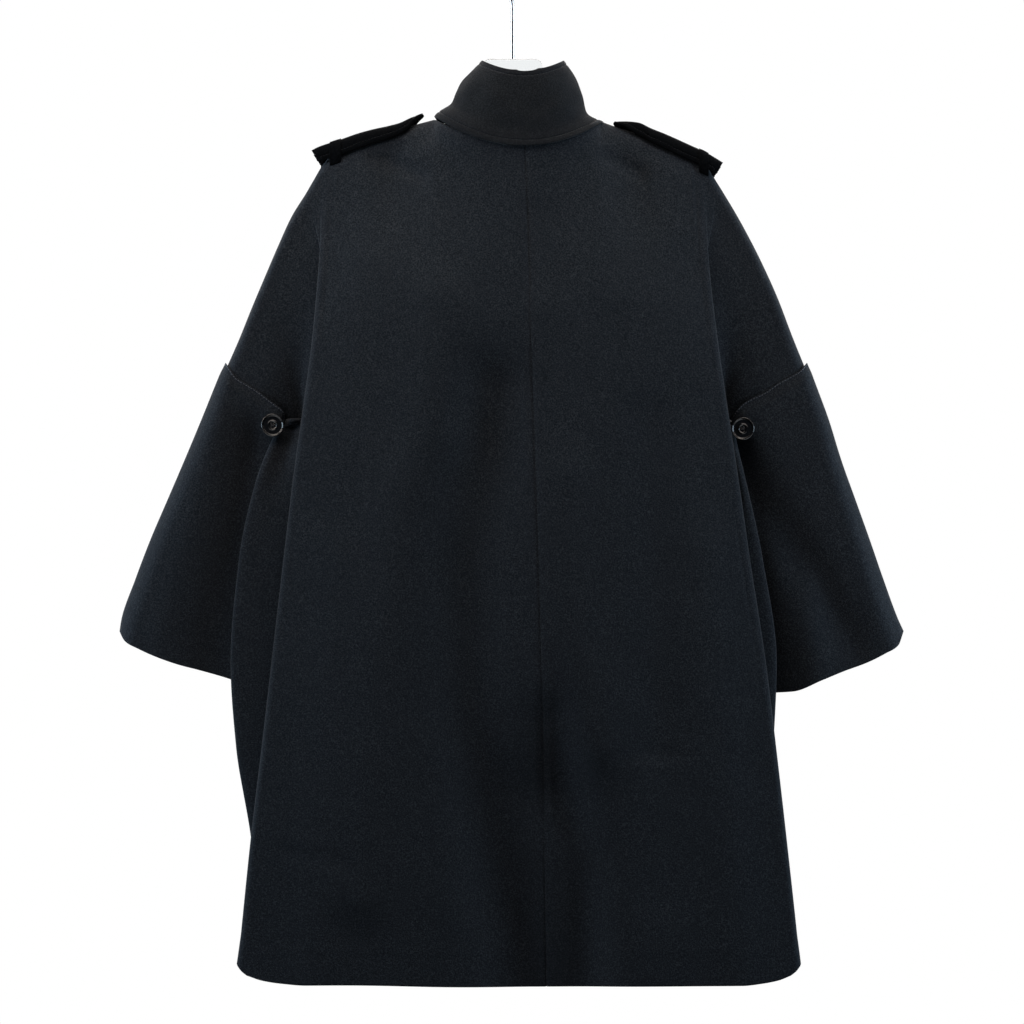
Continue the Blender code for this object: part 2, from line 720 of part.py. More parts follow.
def collar(cloth):
    """The stand collar: one band round the neck, open at the centre front."""
    start = -90 + COLLAR_GAP
    rows = []
    for height in COLLAR_HEIGHTS:
        half_width = look_up(COLLAR_SIDE, 1, height)
        middle = look_up(COLLAR_SIDE, 2, height)
        side_down = look_up(COLLAR_SIDE, 3, height)
        row = []
        for k in range(COLLAR_STEPS + 1):
            turn = math.radians(start + (360 - 2 * COLLAR_GAP) * k / COLLAR_STEPS)
            table = COLLAR_BACK if math.sin(turn) > 0 else COLLAR_FRONT
            deep = look_up(table, 1, height)
            end_down = look_up(table, 2, height)
            down = side_down + (end_down - side_down) * math.sin(turn) ** 2
            row.append((middle + half_width * math.cos(turn), down, deep * math.sin(turn)))
        rows.append(row)
    return wall_from("collar", world(rows, "left", "back"), cloth)


def strap_row(side, out, lift, narrow=1.0, tail=0.0):
    """One section across a shoulder strap, from its front edge over the shoulder's ridge to its back edge."""
    reach = min(out, FOLD_CREST[0][COLUMN[side]] - 6)
    top = look_up(STRAP_TOP, COLUMN[side], out)
    stand_off = WALL / 2 + STRAP_WALL / 2 + LAP_GAP + STRAP_CLEAR + lift
    row = []
    for k in range(11):
        turn = math.radians(-90 + 18 * k) * narrow
        face = "back" if turn > 0 else "front"
        drop = look_up(STRAP_DROP, 1, out) + (STRAP_FRONT_DROP if face == "front" else 0)
        wide = face_deep(side, face, reach, look_up(STRAP_TOP, COLUMN[side], reach) + drop)
        down = top - lift + (drop + lift) * (1 - math.cos(turn))
        row.append((out, down, (wide + stand_off) * math.sin(turn)))
    if tail:
        ends = []
        for face, (_, low, _) in (("front", row[0]), ("back", row[-1])):
            deep = face_deep(side, face, reach, low + tail) + WALL / 2 + KEEPER_WALL / 2 + LAP_GAP
            ends.append((out, low + tail, deep if face == "back" else -deep))
        row = [ends[0]] + row + [ends[1]]
    return row


def strap(side, cloth):
    """A shoulder strap with its pointed end at the neck."""
    start, finish = STRAP_SPAN[side]
    keeper_start, keeper_finish = KEEPER_SPAN[side]
    keeper_middle = 0.5 * (keeper_start + keeper_finish)
    shoulder = start + STRAP_POINT[side]
    stations = [start, 0.5 * (start + shoulder), *np.linspace(shoulder, keeper_start, 5), keeper_middle,
                keeper_finish, finish]
    rows = []
    for out in stations:
        narrow = min(0.16 + 0.84 * (out - start) / (shoulder - start), 1.0)
        row = strap_row(side, out, 0.0, narrow=narrow)
        if out == finish:
            top = min(down for _, down, _ in row)
            row = [(out - STRAP_END_SLANT * min(down - top, STRAP_END_DROP), down, deep)
                   for out, down, deep in row]
        rows.append(row)
    return wall_from(f"shoulder_strap_{side}", world(rows, side, "back"), cloth, thick=STRAP_WALL)


def keeper(side, cloth):
    """The narrow loop that holds a strap down near its outer end, its ends sewn to the coat."""
    start, finish = KEEPER_SPAN[side]
    lift = STRAP_WALL / 2 + KEEPER_WALL / 2 + LAP_GAP
    rows = [strap_row(side, out, lift, tail=KEEPER_TAIL) for out in (start, 0.5 * (start + finish), finish)]
    return wall_from(f"keeper_{side}", world(rows, side, "back"), cloth, thick=KEEPER_WALL)


def button(name, place, facing, radius, horn):
    """A round button with a raised rim, its flat back towards the cloth."""
    thick, rim = BUTTON["thick"], BUTTON["rim"]
    profile = ((0, 0), (radius * 0.86, 0), (radius, thick * 0.4), (radius, thick * 0.75),
               (radius - rim * 0.5, thick), (radius - rim, thick * 0.78), (0, thick * 0.62))
    facing = np.array(facing, float)
    facing /= np.linalg.norm(facing)
    side_way = np.cross(facing, (0.0, 0.0, 1.0) if abs(facing[2]) < 0.9 else (1.0, 0.0, 0.0))
    side_way /= np.linalg.norm(side_way)
    up_way = np.cross(facing, side_way)
    count = BUTTON["sides"]
    points = [np.array(place) + facing * profile[0][1] * MM]
    for r, t in profile[1:-1]:
        for k in range(count):
            turn = 2 * math.pi * k / count
            spoke = side_way * math.cos(turn) + up_way * math.sin(turn)
            points.append(np.array(place) + (facing * t + spoke * r) * MM)
    points.append(np.array(place) + facing * profile[-1][1] * MM)
    faces = []
    rings = len(profile) - 2
    for k in range(count):
        n = (k + 1) % count
        faces.append((0, 1 + n, 1 + k))
        for ring in range(rings - 1):
            a = 1 + ring * count
            faces.append((a + k, a + n, a + count + n, a + count + k))
        a = 1 + (rings - 1) * count
        faces.append((a + k, a + n, len(points) - 1))
    return solid(name, points, faces, horn)


def front_buttons(horn):
    """Two columns down the right front, which lies on top."""
    for column, out in (("outer", -FRONT_BUTTON_OUT), ("inner", FRONT_BUTTON_OUT)):
        for row, down in enumerate(FRONT_BUTTON_ROWS, start=1):
            deep = face_deep("right", "front", out, down)
            step = 2.0
            lean = (face_deep("right", "front", out + step, down) - deep) / step
            tilt = (face_deep("right", "front", out, down + step) - deep) / step
            facing = np.array([lean, -1.0, tilt])
            facing /= np.linalg.norm(facing)
            place = np.array([-out, -deep, -down]) + facing * (WALL / 2 + FRONT_BUTTON_SHANK)
            button(f"front_button_{column}_{row}", place * MM, facing, FRONT_BUTTON_RADIUS, horn)


def sleeve_buttons(horn):
    """One at the inner top corner of each bell, on its back."""
    for side, (out, down, shank) in SLEEVE_BUTTON.items():
        deep = sleeve_surface(side, out, down) + WALL / 2 + shank
        place = np.array([SIDES[side] * out, deep, -down]) * MM
        facing = (-SIDES[side] * SLEEVE_BUTTON_LEAN, 1, SLEEVE_BUTTON_RISE)
        button(f"sleeve_button_{side}", place, facing, BUTTON["radius"], horn)


def strap_buttons(horn):
    """One on each shoulder strap near the neck, on the slope that faces forward."""
    for side in SIDES:
        row = strap_row(side, STRAP_BUTTON_OUT, 0.0)
        ahead = strap_row(side, STRAP_BUTTON_OUT + 4, 0.0)
        _, down, deep = row[2]
        across = np.array([0.0, row[3][2] - row[1][2], row[1][1] - row[3][1]])
        along = np.array([SIDES[side] * 4.0, ahead[2][2] - deep, down - ahead[2][1]])
        facing = np.cross(along, across)
        facing /= np.linalg.norm(facing) * (1 if facing[2] > 0 else -1)
        place = np.array([SIDES[side] * STRAP_BUTTON_OUT, deep, -down])
        place = place + facing * (STRAP_WALL / 2 + STRAP_BUTTON_SHANK)
        button(f"strap_button_{side}", place * MM, facing, STRAP_BUTTON_RADIUS, horn)


def hanger(acrylic):
    """Clear hanger: a neck block and two sloping arms under the shoulders."""
    block = [(out, BLOCK_TOP + low, BLOCK_BOTTOM - high) for out, low, high in HANGER_BLOCK]
    stations = [(-out, *arm_heights("right", out)) for out in HANGER_OUT["right"]]
    stations += [(-out, top, bottom) for out, top, bottom in block]
    stations.append((0, BLOCK_TOP, BLOCK_BOTTOM))
    stations += block[::-1]
    stations += [(out, *arm_heights("left", out)) for out in HANGER_OUT["left"]]
    rows = []
    for out, top, bottom in stations:
        deep = HANGER_DEEP
        section = ((0, top), (0.62 * deep, top + 0.8), (deep, top + 3.5), (deep, bottom - 3),
                   (0.6 * deep, bottom), (-0.6 * deep, bottom), (-deep, bottom - 3), (-deep, top + 3.5),
                   (-0.62 * deep, top + 0.8))
        rows.append([(out, down, y) for y, down in section])
    points = world(rows, "left", "back").reshape(-1, 3)
    count = len(rows[0])
    faces = [tuple(range(count)), tuple(len(points) - 1 - k for k in range(count))]
    for i in range(len(rows) - 1):
        for j in range(count):
            n = (j + 1) % count
            faces.append((i * count + j, (i + 1) * count + j, (i + 1) * count + n, i * count + n))
    return solid("hanger", points, faces, acrylic)


def arm_heights(side, out):
    """Top and bottom of the hanger's arm: its top follows the shoulder from just inside the cloth."""
    neck_out = 100
    top = contour_down(side, max(out, neck_out)) + WALL / 2 + HANGER_SEAT
    top -= max(neck_out - out, 0) * HANGER_DIP
    height = 8 + 20 * ease((200 - out) / 110)
    return top, top + height


def hook(steel):
    """Wire hook: a straight neck, a bend and a ring open at one side."""
    radius = HOOK_RING + HOOK_WIRE
    ring = [(radius * math.cos(math.radians(a)), radius * math.sin(math.radians(a)) - HOOK_RING)
            for a in range(-40, 206, 15)]
    path = [np.array([x, 0.0, z]) for x, z in HOOK_NECK + tuple(ring)]
    path = spline(path, (1, 1, 2, 2, 2) + (1,) * (len(path) - 6))
    rows = []
    count = HOOK_SIDES
    for i, point in enumerate(path):
        along = path[min(i + 1, len(path) - 1)] - path[max(i - 1, 0)]
        if i == 0:
            along = np.array([0.0, 0.0, 1.0])
        along /= np.linalg.norm(along)
        across = np.array([along[2], 0.0, -along[0]])
        rows.append([point + HOOK_WIRE * (across * math.cos(2 * math.pi * k / count)
                                          + np.array([0.0, 1.0, 0.0]) * math.sin(2 * math.pi * k / count))
                     for k in range(count)])
    points = np.array(rows).reshape(-1, 3) * MM
    faces = [tuple(range(count)), tuple(len(points) - 1 - k for k in range(count))]
    for i in range(len(rows) - 1):
        for j in range(count):
            n = (j + 1) % count
            faces.append((i * count + j, (i + 1) * count + j, (i + 1) * count + n, i * count + n))
    return solid("hanger_hook", points, faces, steel)


def main():
    for thing in list(bpy.data.objects):
        bpy.data.objects.remove(thing)
    cloth = material_of("black_wool", (0.010, 0.012, 0.017), 0.92)
    horn = material_of("black_button", (0.008, 0.008, 0.009), 0.22)
    acrylic = material_of("clear_acrylic", (0.9, 0.92, 0.93), 0.05, transmission=0.9)
    steel = material_of("steel_wire", (0.62, 0.62, 0.63), 0.25, metallic=1.0)
    for side in SIDES:
        panel(side, "back", cloth)
        panel(side, "front", cloth)
        sleeve(side, cloth)
        strap(side, cloth)
        keeper(side, cloth)
    collar(cloth)
    front_buttons(horn)
    sleeve_buttons(horn)
    strap_buttons(horn)
    hanger(acrylic)
    hook(steel)


main()
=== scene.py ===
"""The looks of a double-breasted wool coat on a clear hanger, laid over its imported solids.

The form functions and their tables are those of the solids, worked out for whole grids of points at once.
Tables are in millimetres: "down" is the distance below the hook's bearing, "out" the distance from the
hook's plane towards the named side, "left" the same towards the wearer's left, and "deep" the distance
from the plane between front and back.

The looks add soft relief, seams and stitches to that form, and leave it by a few millimetres where finer
cloth shows: the bell's lip is pressed thin, the side folds are hollowed beside it, the neck and the
armhole's corner settle sooner, the collar's base tilts, the straps' ends are shaped, the keepers are thin.
"""

import math

import bpy
import numpy as np
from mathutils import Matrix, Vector

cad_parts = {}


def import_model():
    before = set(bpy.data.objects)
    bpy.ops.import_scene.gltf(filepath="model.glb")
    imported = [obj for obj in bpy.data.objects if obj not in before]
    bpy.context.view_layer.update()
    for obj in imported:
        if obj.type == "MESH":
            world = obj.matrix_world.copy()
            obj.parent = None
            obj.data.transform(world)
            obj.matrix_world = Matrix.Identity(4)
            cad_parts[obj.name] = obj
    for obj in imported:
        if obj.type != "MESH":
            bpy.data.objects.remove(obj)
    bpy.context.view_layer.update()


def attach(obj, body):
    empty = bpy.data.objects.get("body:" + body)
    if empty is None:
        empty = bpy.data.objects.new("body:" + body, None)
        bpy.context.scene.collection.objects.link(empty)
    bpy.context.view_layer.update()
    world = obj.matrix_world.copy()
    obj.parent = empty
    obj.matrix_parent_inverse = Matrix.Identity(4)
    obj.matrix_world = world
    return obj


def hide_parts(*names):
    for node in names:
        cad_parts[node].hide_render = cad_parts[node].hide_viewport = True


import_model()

MM = 0.001

# ---- driving sizes, in millimetres ----------------------------------------------------------------------
WALL = 2.5                # thickness of the double-faced wool
EDGE_ROUND = 0.8          # how far a wall's edge swells past its last row, in shares of half its thickness
SEAM_GAP = 0.3            # between cloths that are sewn edge to edge
LAP_GAP = 0.6             # between cloths that lie on each other
LIP_WALL = 0.9            # of the bell, at its pressed top edge
LIP_PRESS = 0.7
HEM_DOWN = 1097.0
NECK_CENTRE = -5.0
NECK_HALF_WIDTH = 86.0
NECK_DOWN = 188.5
NECK_DROP = {"back": 23.5, "front": 66.0}
NECK_DEEP = {"back": 50.0, "front": 62.0}
NECK_SPREAD = 1.6         # below the ring its bow spreads to this many times the neck's width
NECK_SETTLE = 34.0        # and is fully spread at this depth
BODY_SPREAD = 190.0       # the body has its full depth this far below its top edge
CORNER_DOWN = 503.0       # of the armhole
SIDE_SETTLE = {"back": 9.0, "front": 3.0}     # below it the side has its own form at this depth
FOLD_TURN = 9.0           # in from the side fold's crest, where the panel starts to turn
FOLD_SETTLE = 120.0       # below its top the side fold is fully folded at this depth
SIDE_TURN = 4.0           # round the side's crest
PLEAT_HOLLOW = 13.0       # beside the side fold, behind the bell's inner corner
FOLD_INSET = {"back": 0.0, "front": 8.0}      # the front's side fold lies inside the back's
OVERLAP = 66.0            # of the fronts, past the centre
UNDERLAP_SINK = 4.6       # of the left front, behind the right one
RIDGE_DEEP = 11.0         # the shoulder's ridge rolls to this depth over a height
RIDGE_ROLL = 12.0
ARM_DEEP = 16.0
ARM_ROLL = 16.0
SLEEVE_DEEP = 22.0
SLEEVE_ROLL = 17.0
HEM_STITCH = 38.0         # above the hem, where its turning shows
HEM_WAVE = 1.1
STRAP_WALL = 3.4
STRAP_PRESS = 0.2         # the strap's cloth is this much thinner than its solid
STRAP_MARGIN = 5.6        # of the stitching, from the strap's edges
STRAP_CORNER = 7.0        # how round a strap's outer corners are
SHOULDER_MIDDLE = 260.0   # how far down the middle of the shoulder's thickness lies, inside the straps
STRAP_TIP = 0.28          # width of its inner end, as a share
KEEPER_WALL = 1.0
COLLAR_GAP = 0.6          # degrees either side of the centre front
COLLAR_LOWER_STITCH = 7.3
COLLAR_UPPER_STITCH = 5.8
STITCH_SINK = 0.05        # of a row of stitches, into its cloth

SIDES = {"left": 1, "right": -1}
FACES = {"back": 1, "front": -1}
COLUMN = {"left": 1, "right": 2}

# ---- tables of the form: a row for each height, columns down, left out, right out ------------------------
SEAM_BACK = ((212, -12.6, 12.6), (378, -18, 18), (692, -28.5, 28.5), (1097, -35.7, 35.7))
FOLD_CREST = (
    (231, 195, 198), (340, 202, 205), (419, 209, 214), (494, 219, 225), (566, 229, 236), (650, 239, 248),
    (758, 251.5, 264.5), (845, 261.5, 275), (942, 273, 286), (1075, 286.5, 300), (1098, 289, 302),
)
SIDE_CREST = (
    (503, 239, 229.0), (510, 244.5, 231), (521, 250, 233), (566, 267.5, 243.5), (650, 285.6, 261.5),
    (758, 294, 276), (845, 288.5, 272.5), (942, 273, 268), (1098, 257, 262),
)
SIDE_SEAM = (
    (503, 238.4, 228.6), (521, 235, 222), (560, 229, 216), (650, 221, 210), (800, 214, 210), (1098, 222, 228),
)
OVERARM = (
    (188.5, 81, 88), (193, 98, 99), (198, 116, 114), (204, 137, 134), (212, 160, 157), (222, 183, 180),
    (233, 196, 199), (254, 209, 213.5), (266, 216, 221), (293, 232.5, 237), (335, 251, 259),
    (377, 269, 278), (419, 286, 294), (449, 299.2, 306.2),
)
ELBOW_SEAM = (            # the arm's lower edge, inside the bell
    (449, 299.2, 306.2), (458, 297.3, 302.8), (465, 292, 290.5), (472, 280.5, 279), (480, 268, 267.5),
    (487, 259, 253), (493, 250.5, 243.5), (498, 243.4, 237.0), (503, 239.0, 229.0),
)
BELL_LIP = (              # the bell's top edge, lapped over the arm
    (443, 301, 309), (452, 295, 300.8), (458, 290.5, 290), (466, 278, 276.3), (474, 265.5, 265),
    (481, 256.5, 250), (487, 248.5, 240.8), (494, 240.2, 234.6), (500, 239.2, 231.2), (505.5, 239.7, 229.5),
)
SLEEVE_OUTER = (
    (443, 301, 309), (461, 308.5, 315.5), (503, 325.5, 331), (545, 343, 344), (587, 361, 359),
    (629, 379, 374), (671, 395, 388.5), (713, 409.5, 404), (726, 411.5, 410),
)
SLEEVE_INNER = (
    (505.5, 239.7, 229.5), (521, 244.8, 232), (540, 249, 233), (600, 252, 240), (700, 255, 248),
    (790, 258, 256),
)
SLEEVE_HEM = (            # share from the outer tip in, down at the left, down at the right
    (0.0, 726, 726), (0.03, 735, 739), (0.12, 743, 748), (0.25, 752, 758), (0.40, 760, 766.5),
    (0.55, 766, 776), (0.75, 775, 788), (1.0, 790, 790),
)

# ---- tables with other columns ---------------------------------------------------------------------------
BODY_DEEP = (             # down, at the centre back, at the centre front, at the side fold
    (188, 50, 58, 12), (258, 56, 63, 22), (340, 61, 66, 34), (500, 66, 68, 46), (700, 70, 70, 50),
    (900, 73, 72, 54), (1098, 76, 74, 58),
)
FOLD_WIDTH = ((231, 0), (340, 10), (420, 13), (600, 20), (850, 30), (1098, 36))
SIDE_DEEP = ((503, 1), (512, 10), (524, 17), (545, 24), (566, 28), (700, 30), (1098, 27))
COLLAR_SIDE = (           # the collar's height as a share, half width, its middle, down
    (0.0, 88.5, -7.0, 187), (0.14, 77, -2.0, 180), (0.27, 69, -5.5, 172), (0.50, 65, -7.0, 160),
    (0.68, 60, -7.5, 149), (0.86, 52, -9.5, 138), (1.0, 41.5, -11.0, 126),
)
COLLAR_BACK = ((0.0, 55.5, 215.5), (0.3, 53.5, 192), (0.6, 50, 167), (1.0, 44, 136.6))
COLLAR_FRONT = ((0.0, 68.5, 257), (0.4, 66.5, 225), (1.0, 58, 177))
STRAP_TOP = (             # out, down at the left, down at the right
    (93, 182.5, 191.5), (106, 187, 191.3), (118, 192.5, 191), (131, 196, 192), (145, 199, 198.2),
    (160, 203, 204.2), (183, 211, 214.5), (204, 218, 224.3), (221, 228.5, 234.5),
)
STRAP_DROP = ((93, 7), (118, 11), (134, 13), (175, 15.5), (221, 15.5))
STRAP_FRONT_DROP = 9.0
STRAP_SPAN = {"left": (93, 211), "right": (106, 221)}
STRAP_POINT = {"left": 17.0, "right": 25.0}
STRAP_END_SLANT = 0.72
STRAP_END_DROP = 15.0
KEEPER_SPAN = {"left": (180, 192), "right": (196, 206)}
KEEPER_TAIL = 7.0
HEM_RISE = ((0.0, 0), (0.80, 0.8), (0.88, 3), (0.95, 6.5), (1.0, 11.5))
FOLD_KEYS = (             # a key's step out, how far it sinks and how far it rises at the hem, then where it
    # lies above the fold: its step from the crest and its share of the face's relief
    (-FOLD_TURN, 0, 0, -9, 1), (-3, 1.0, 5, -4, 0.8), (0, 4.6, 10, 1, 0.5), (-3, 8.4, 11, 6, 0.25),
    (6, 11.6, 0, 11, 0.1), (0, 14.2, 0, 16, 0), (6, 16.8, 0, 22, 0),
)
CREST_KEYS = 4            # the others step from the fold's valley
ARM_SHARES = (0.17, 0.34, 0.50, 0.67, 0.84, 1.0)
CREASES = {               # troughs: down, left, width, deep at the top; the same at the bottom
    "back": (
        (360, 20, 26, 0, 1097, -8, 62, 9), (560, 52, 30, 0, 1097, 40, 44, 5),
        (690, -42, 16, 0, 1097, -78, 30, 6), (480, -135, 26, 0, 860, -150, 34, 3),
        (205, 118, 14, 3.5, 330, 150, 30, 0), (205, -104, 12, 3, 330, -135, 30, 0),
    ),
    "front": (
        (520, 150, 30, 0, 1097, 165, 46, 7), (560, -160, 28, 0, 1097, -150, 44, 7),
        (210, 112, 14, 3.5, 330, 140, 30, 0), (210, -112, 14, 3.5, 330, -140, 30, 0),
    ),
}

# ---- soft relief that only the looks need: left and down along its line, half width, height --------------
RELIEF = {
    "back": (
        (((150, 255), (152, 330)), 36, 5.0),
        (((-160, 238), (-176, 300)), 32, 4.5),
        (((146, 226), (96, 246)), 9, -4.0),
        (((-96, 226), (-132, 244)), 9, -3.4),
        (((77, 377), (87, 513), (119, 587), (134, 692), (150, 818), (160, 1000)), 30, 6.5),
        (((-23, 290), (-26, 352)), 20, -3.4),
        (((20, 470), (34, 560), (52, 660), (48, 800), (24, 950), (-10, 1110)), 42, -15.0),
        (((-34, 905), (-44, 1140)), 62, -14.5),
        (((-60, 560), (-66, 692), (-91, 849)), 24, 5.0),
        (((-146, 500), (-150, 640), (-160, 1000)), 28, -3.6),
        (((-39, 818), (-55, 891), (-84, 954), (-80, 1110)), 28, -8.0),
        (((238, 955), (175, 968)), 7, -1.4),
        (((-200, 640), (-216, 850), (-240, 1100)), 28, 5.0),
        (((182, 640), (206, 1100)), 26, 4.0),
        (((190, 236), (195, 300), (200, 360)), 10, 1.8),
        (((-192, 236), (-198, 300), (-203, 360)), 10, 1.8),
    ),
    "front": (
        (((150, 262), (158, 320)), 34, 4.0),
        (((-150, 262), (-160, 320)), 34, 4.0),
        (((136, 232), (96, 243)), 9, -3.4),
        (((-136, 232), (-96, 243)), 9, -3.4),
        (((108, 420), (120, 640), (136, 900), (138, 1100)), 26, 5.0),
        (((-112, 560), (-126, 760), (-130, 1100)), 28, 5.0),
        (((-20, 700), (-12, 1100)), 32, -5.0),
        (((206, 640), (214, 1100)), 22, 3.5),
        (((-204, 600), (-216, 1100)), 22, 3.5),
    ),
}
EDGE_LINES = {            # the seam or the stitched edge: height, distance from the edge, half width
    "back": ((-1.0, 0, 1.7), (0.4, 8, 3.2)),
    "front": ((-0.5, 7, 1.1), (-0.5, 0, 1.6)),
}
COLLAR_DENTS = (          # height, distance above the base and half width, turn and half width in degrees
    (-2.6, 20, 12, 84, 18), (1.2, 30, 14, 128, 12), (-1.0, 38, 12, 46, 9),
)
SLEEVE_RELIEF = {         # share and height along its line, half width in shares, height in mm
    "left_back": (
        (((0.60, 0.98), (0.66, 0.55), (0.70, -0.05)), 0.19, -8.5),
        (((0.20, 0.90), (0.24, -0.05)), 0.12, 3.0),
    ),
    "right_back": (
        (((0.90, 0.92), (0.62, 0.55), (0.30, 0.10)), 0.13, -6.0),
        (((0.52, 0.28), (0.58, -0.05)), 0.10, 3.6),
        (((0.84, 0.75), (0.86, -0.05)), 0.13, -6.0),
    ),
    "left_front": (
        (((0.86, 0.92), (0.60, 0.55), (0.36, 0.10)), 0.13, -4.5),
        (((0.62, 0.28), (0.66, -0.05)), 0.10, 2.6),
    ),
    "right_front": (
        (((0.60, 0.98), (0.66, 0.55), (0.70, -0.05)), 0.16, -4.5),
        (((0.20, 0.90), (0.26, -0.05)), 0.12, 2.6),
    ),
}

BUTTON_RADIUS = 12.2
BUTTON_THICK = 3.2
HOLE_DEPTH = 1.1
FRONT_BUTTON_RADIUS = 14.0
FRONT_BUTTON_ROWS = (325, 425, 525, 625)
FRONT_BUTTON_OUT = 46.0
FRONT_BUTTON_SHANK = 0.78
STRAP_BUTTON_SHANK = 0.9
SLEEVE_BUTTON = {"left": (252.2, 508.8, 3.7), "right": (242.2, 512.5, 3.1)}
SLEEVE_BUTTON_LEAN = 0.2
SLEEVE_BUTTON_RISE = 0.14
STRAP_BUTTON_OUT = 124.0
STRAP_BUTTON_RADIUS = 9.0

HOOK_WIRE = 2.0
HOOK_RING = 20.0
BLOCK_TOP = 124.0
BLOCK_HALF = 24.0         # out to where the block's rounded corner starts
BLOCK_ROUND = 7.0
BLOCK_BOTTOM = 208.0
HANGER_DEEP = 4.0
HANGER_ROUND = 1.6

FLOOR_DOWN = 1750.0
FLOOR_RADIUS = 4.2        # metres
CAMERA_AWAY = 30.0        # metres
FRAME_WIDTH = 1.0752      # metres across the picture, in the coat's middle plane
FRAME_CENTRE_DOWN = 599.6


# ---- small geometry helpers ------------------------------------------------------------------------------
def smooth(xs, ys, x):
    """Monotone cubic curve through the points (xs, ys), held level beyond its ends."""
    xs = np.asarray(xs, float)
    ys = np.asarray(ys, float)
    step = np.diff(xs)
    slope = np.diff(ys) / step
    tangent = np.zeros_like(ys)
    tangent[0] = slope[0]
    tangent[-1] = slope[-1]
    for i in range(1, len(xs) - 1):
        if slope[i - 1] * slope[i] > 0:
            before = 2 * step[i] + step[i - 1]
            after = step[i] + 2 * step[i - 1]
            tangent[i] = (before + after) / (before / slope[i - 1] + after / slope[i])
    x = np.clip(x, xs[0], xs[-1])
    k = np.clip(np.searchsorted(xs, x) - 1, 0, len(step) - 1)
    t = (x - xs[k]) / step[k]
    near = (1 + 2 * t) * (1 - t) ** 2 * ys[k] + t * t * (3 - 2 * t) * ys[k + 1]
    return near + step[k] * (t * (1 - t) ** 2 * tangent[k] - t * t * (1 - t) * tangent[k + 1])


def look_up(table, column, x):
    """Smooth value of one column of a table at x, which its first column gives."""
    return smooth([row[0] for row in table], [row[column] for row in table], x)


def ease(t):
    """Soft step from 0 to 1."""
    t = np.clip(t, 0.0, 1.0)
    return t * t * (3 - 2 * t)


def roll(distance, height):
    """Quarter-round rise from 0 to 1 over a height, as cloth turns over an edge."""
    t = np.clip(distance / height, 0.0, 1.0)
    return np.sqrt(1 - (1 - t) ** 2)


def bump(distance, width):
    """A soft ridge across a line, 1 on the line itself."""
    return np.exp(-(distance / width) ** 2)


def away_from(path, x, y):
    """Distance of points from an open path of straight stretches."""
    nearest = np.full(np.broadcast(x, y).shape, np.inf)
    for (x0, y0), (x1, y1) in zip(path[:-1], path[1:]):
        run = (x1 - x0, y1 - y0)
        t = np.clip(((x - x0) * run[0] + (y - y0) * run[1]) / (run[0] ** 2 + run[1] ** 2), 0.0, 1.0)
        nearest = np.minimum(nearest, np.hypot(x - x0 - run[0] * t, y - y0 - run[1] * t))
    return nearest


def uneven(x, y, seed, longest, count=9):
    """Gentle unevenness between about -1 and 1, whose longest wave is given."""
    made = np.random.default_rng(seed)
    total = 0.0
    for _ in range(count):
        wave = longest * made.uniform(0.35, 1.0)
        turn = made.uniform(0, math.tau)
        phase = made.uniform(0, math.tau)
        total = total + np.sin((x * math.cos(turn) + y * math.sin(turn)) * math.tau / wave + phase)
    return total / math.sqrt(count) / 1.4


def spline(keys, steps):
    """Catmull-Rom curves through keys, an array of rows by keys by 3, with steps in each stretch."""
    ends = np.concatenate([2 * keys[:, :1] - keys[:, 1:2], keys, 2 * keys[:, -1:] - keys[:, -2:-1]], 1)
    made = []
    for i in range(keys.shape[1] - 1):
        a, b, c, d = (ends[:, i + k] for k in range(4))
        for j in range(steps):
            t = j / steps
            made.append(0.5 * (2 * b + (c - a) * t + (2 * a - 5 * b + 4 * c - d) * t * t
                               + (3 * b - a - 3 * c + d) * t ** 3))
    made.append(keys[:, -1])
    return np.stack(made, 1)


def spaced(stops, counts):
    """Numbers running through the stops, with the given count of even steps in each stretch."""
    made = [np.linspace(a, b, count, endpoint=False) for a, b, count in zip(stops[:-1], stops[1:], counts)]
    return np.concatenate(made + [[stops[-1]]])


def unit(vectors):
    return vectors / np.maximum(np.linalg.norm(vectors, axis=-1, keepdims=True), 1e-12)


def run_along(line, axis=0):
    """Distance of each point of a line or grid from its start, in millimetres."""
    run = np.cumsum(np.linalg.norm(np.diff(line, axis=axis), axis=-1), axis) / MM
    return np.insert(run, 0, 0.0, axis)


def round_trip(start, sides):
    """Cosine and sine of each even step round a circle from a start."""
    turns = [start + math.tau * k / sides for k in range(sides)]
    return [(math.cos(turn), math.sin(turn)) for turn in turns]


# ---- the coat's form -------------------------------------------------------------------------------------
def ring_down(out_left, face):
    """Height of the neck ring above a place across the neck."""
    across = np.clip((out_left - NECK_CENTRE) / NECK_HALF_WIDTH, -1.0, 1.0)
    return NECK_DOWN + NECK_DROP[face] * (1 - across ** 2)


def contour_down(side, out):
    """Height of the top contour at a place out from the hook: neck ring, then shoulder and arm."""
    return smooth([row[COLUMN[side]] for row in OVERARM], [row[0] for row in OVERARM], out)


def relief(face, left, down):
    """Soft ridges and troughs along their lines."""
    total = 0.0
    for path, width, height in RELIEF[face]:
        total = total + height * bump(away_from(path, left, down), width)
    return total


def dressing(face, left, down, below):
    """Soft folds and unevenness laid over the form, gone at the top edge."""
    return (relief(face, left, down) + 0.5 * uneven(left, down, 11, 150)) * ease(below / 30)


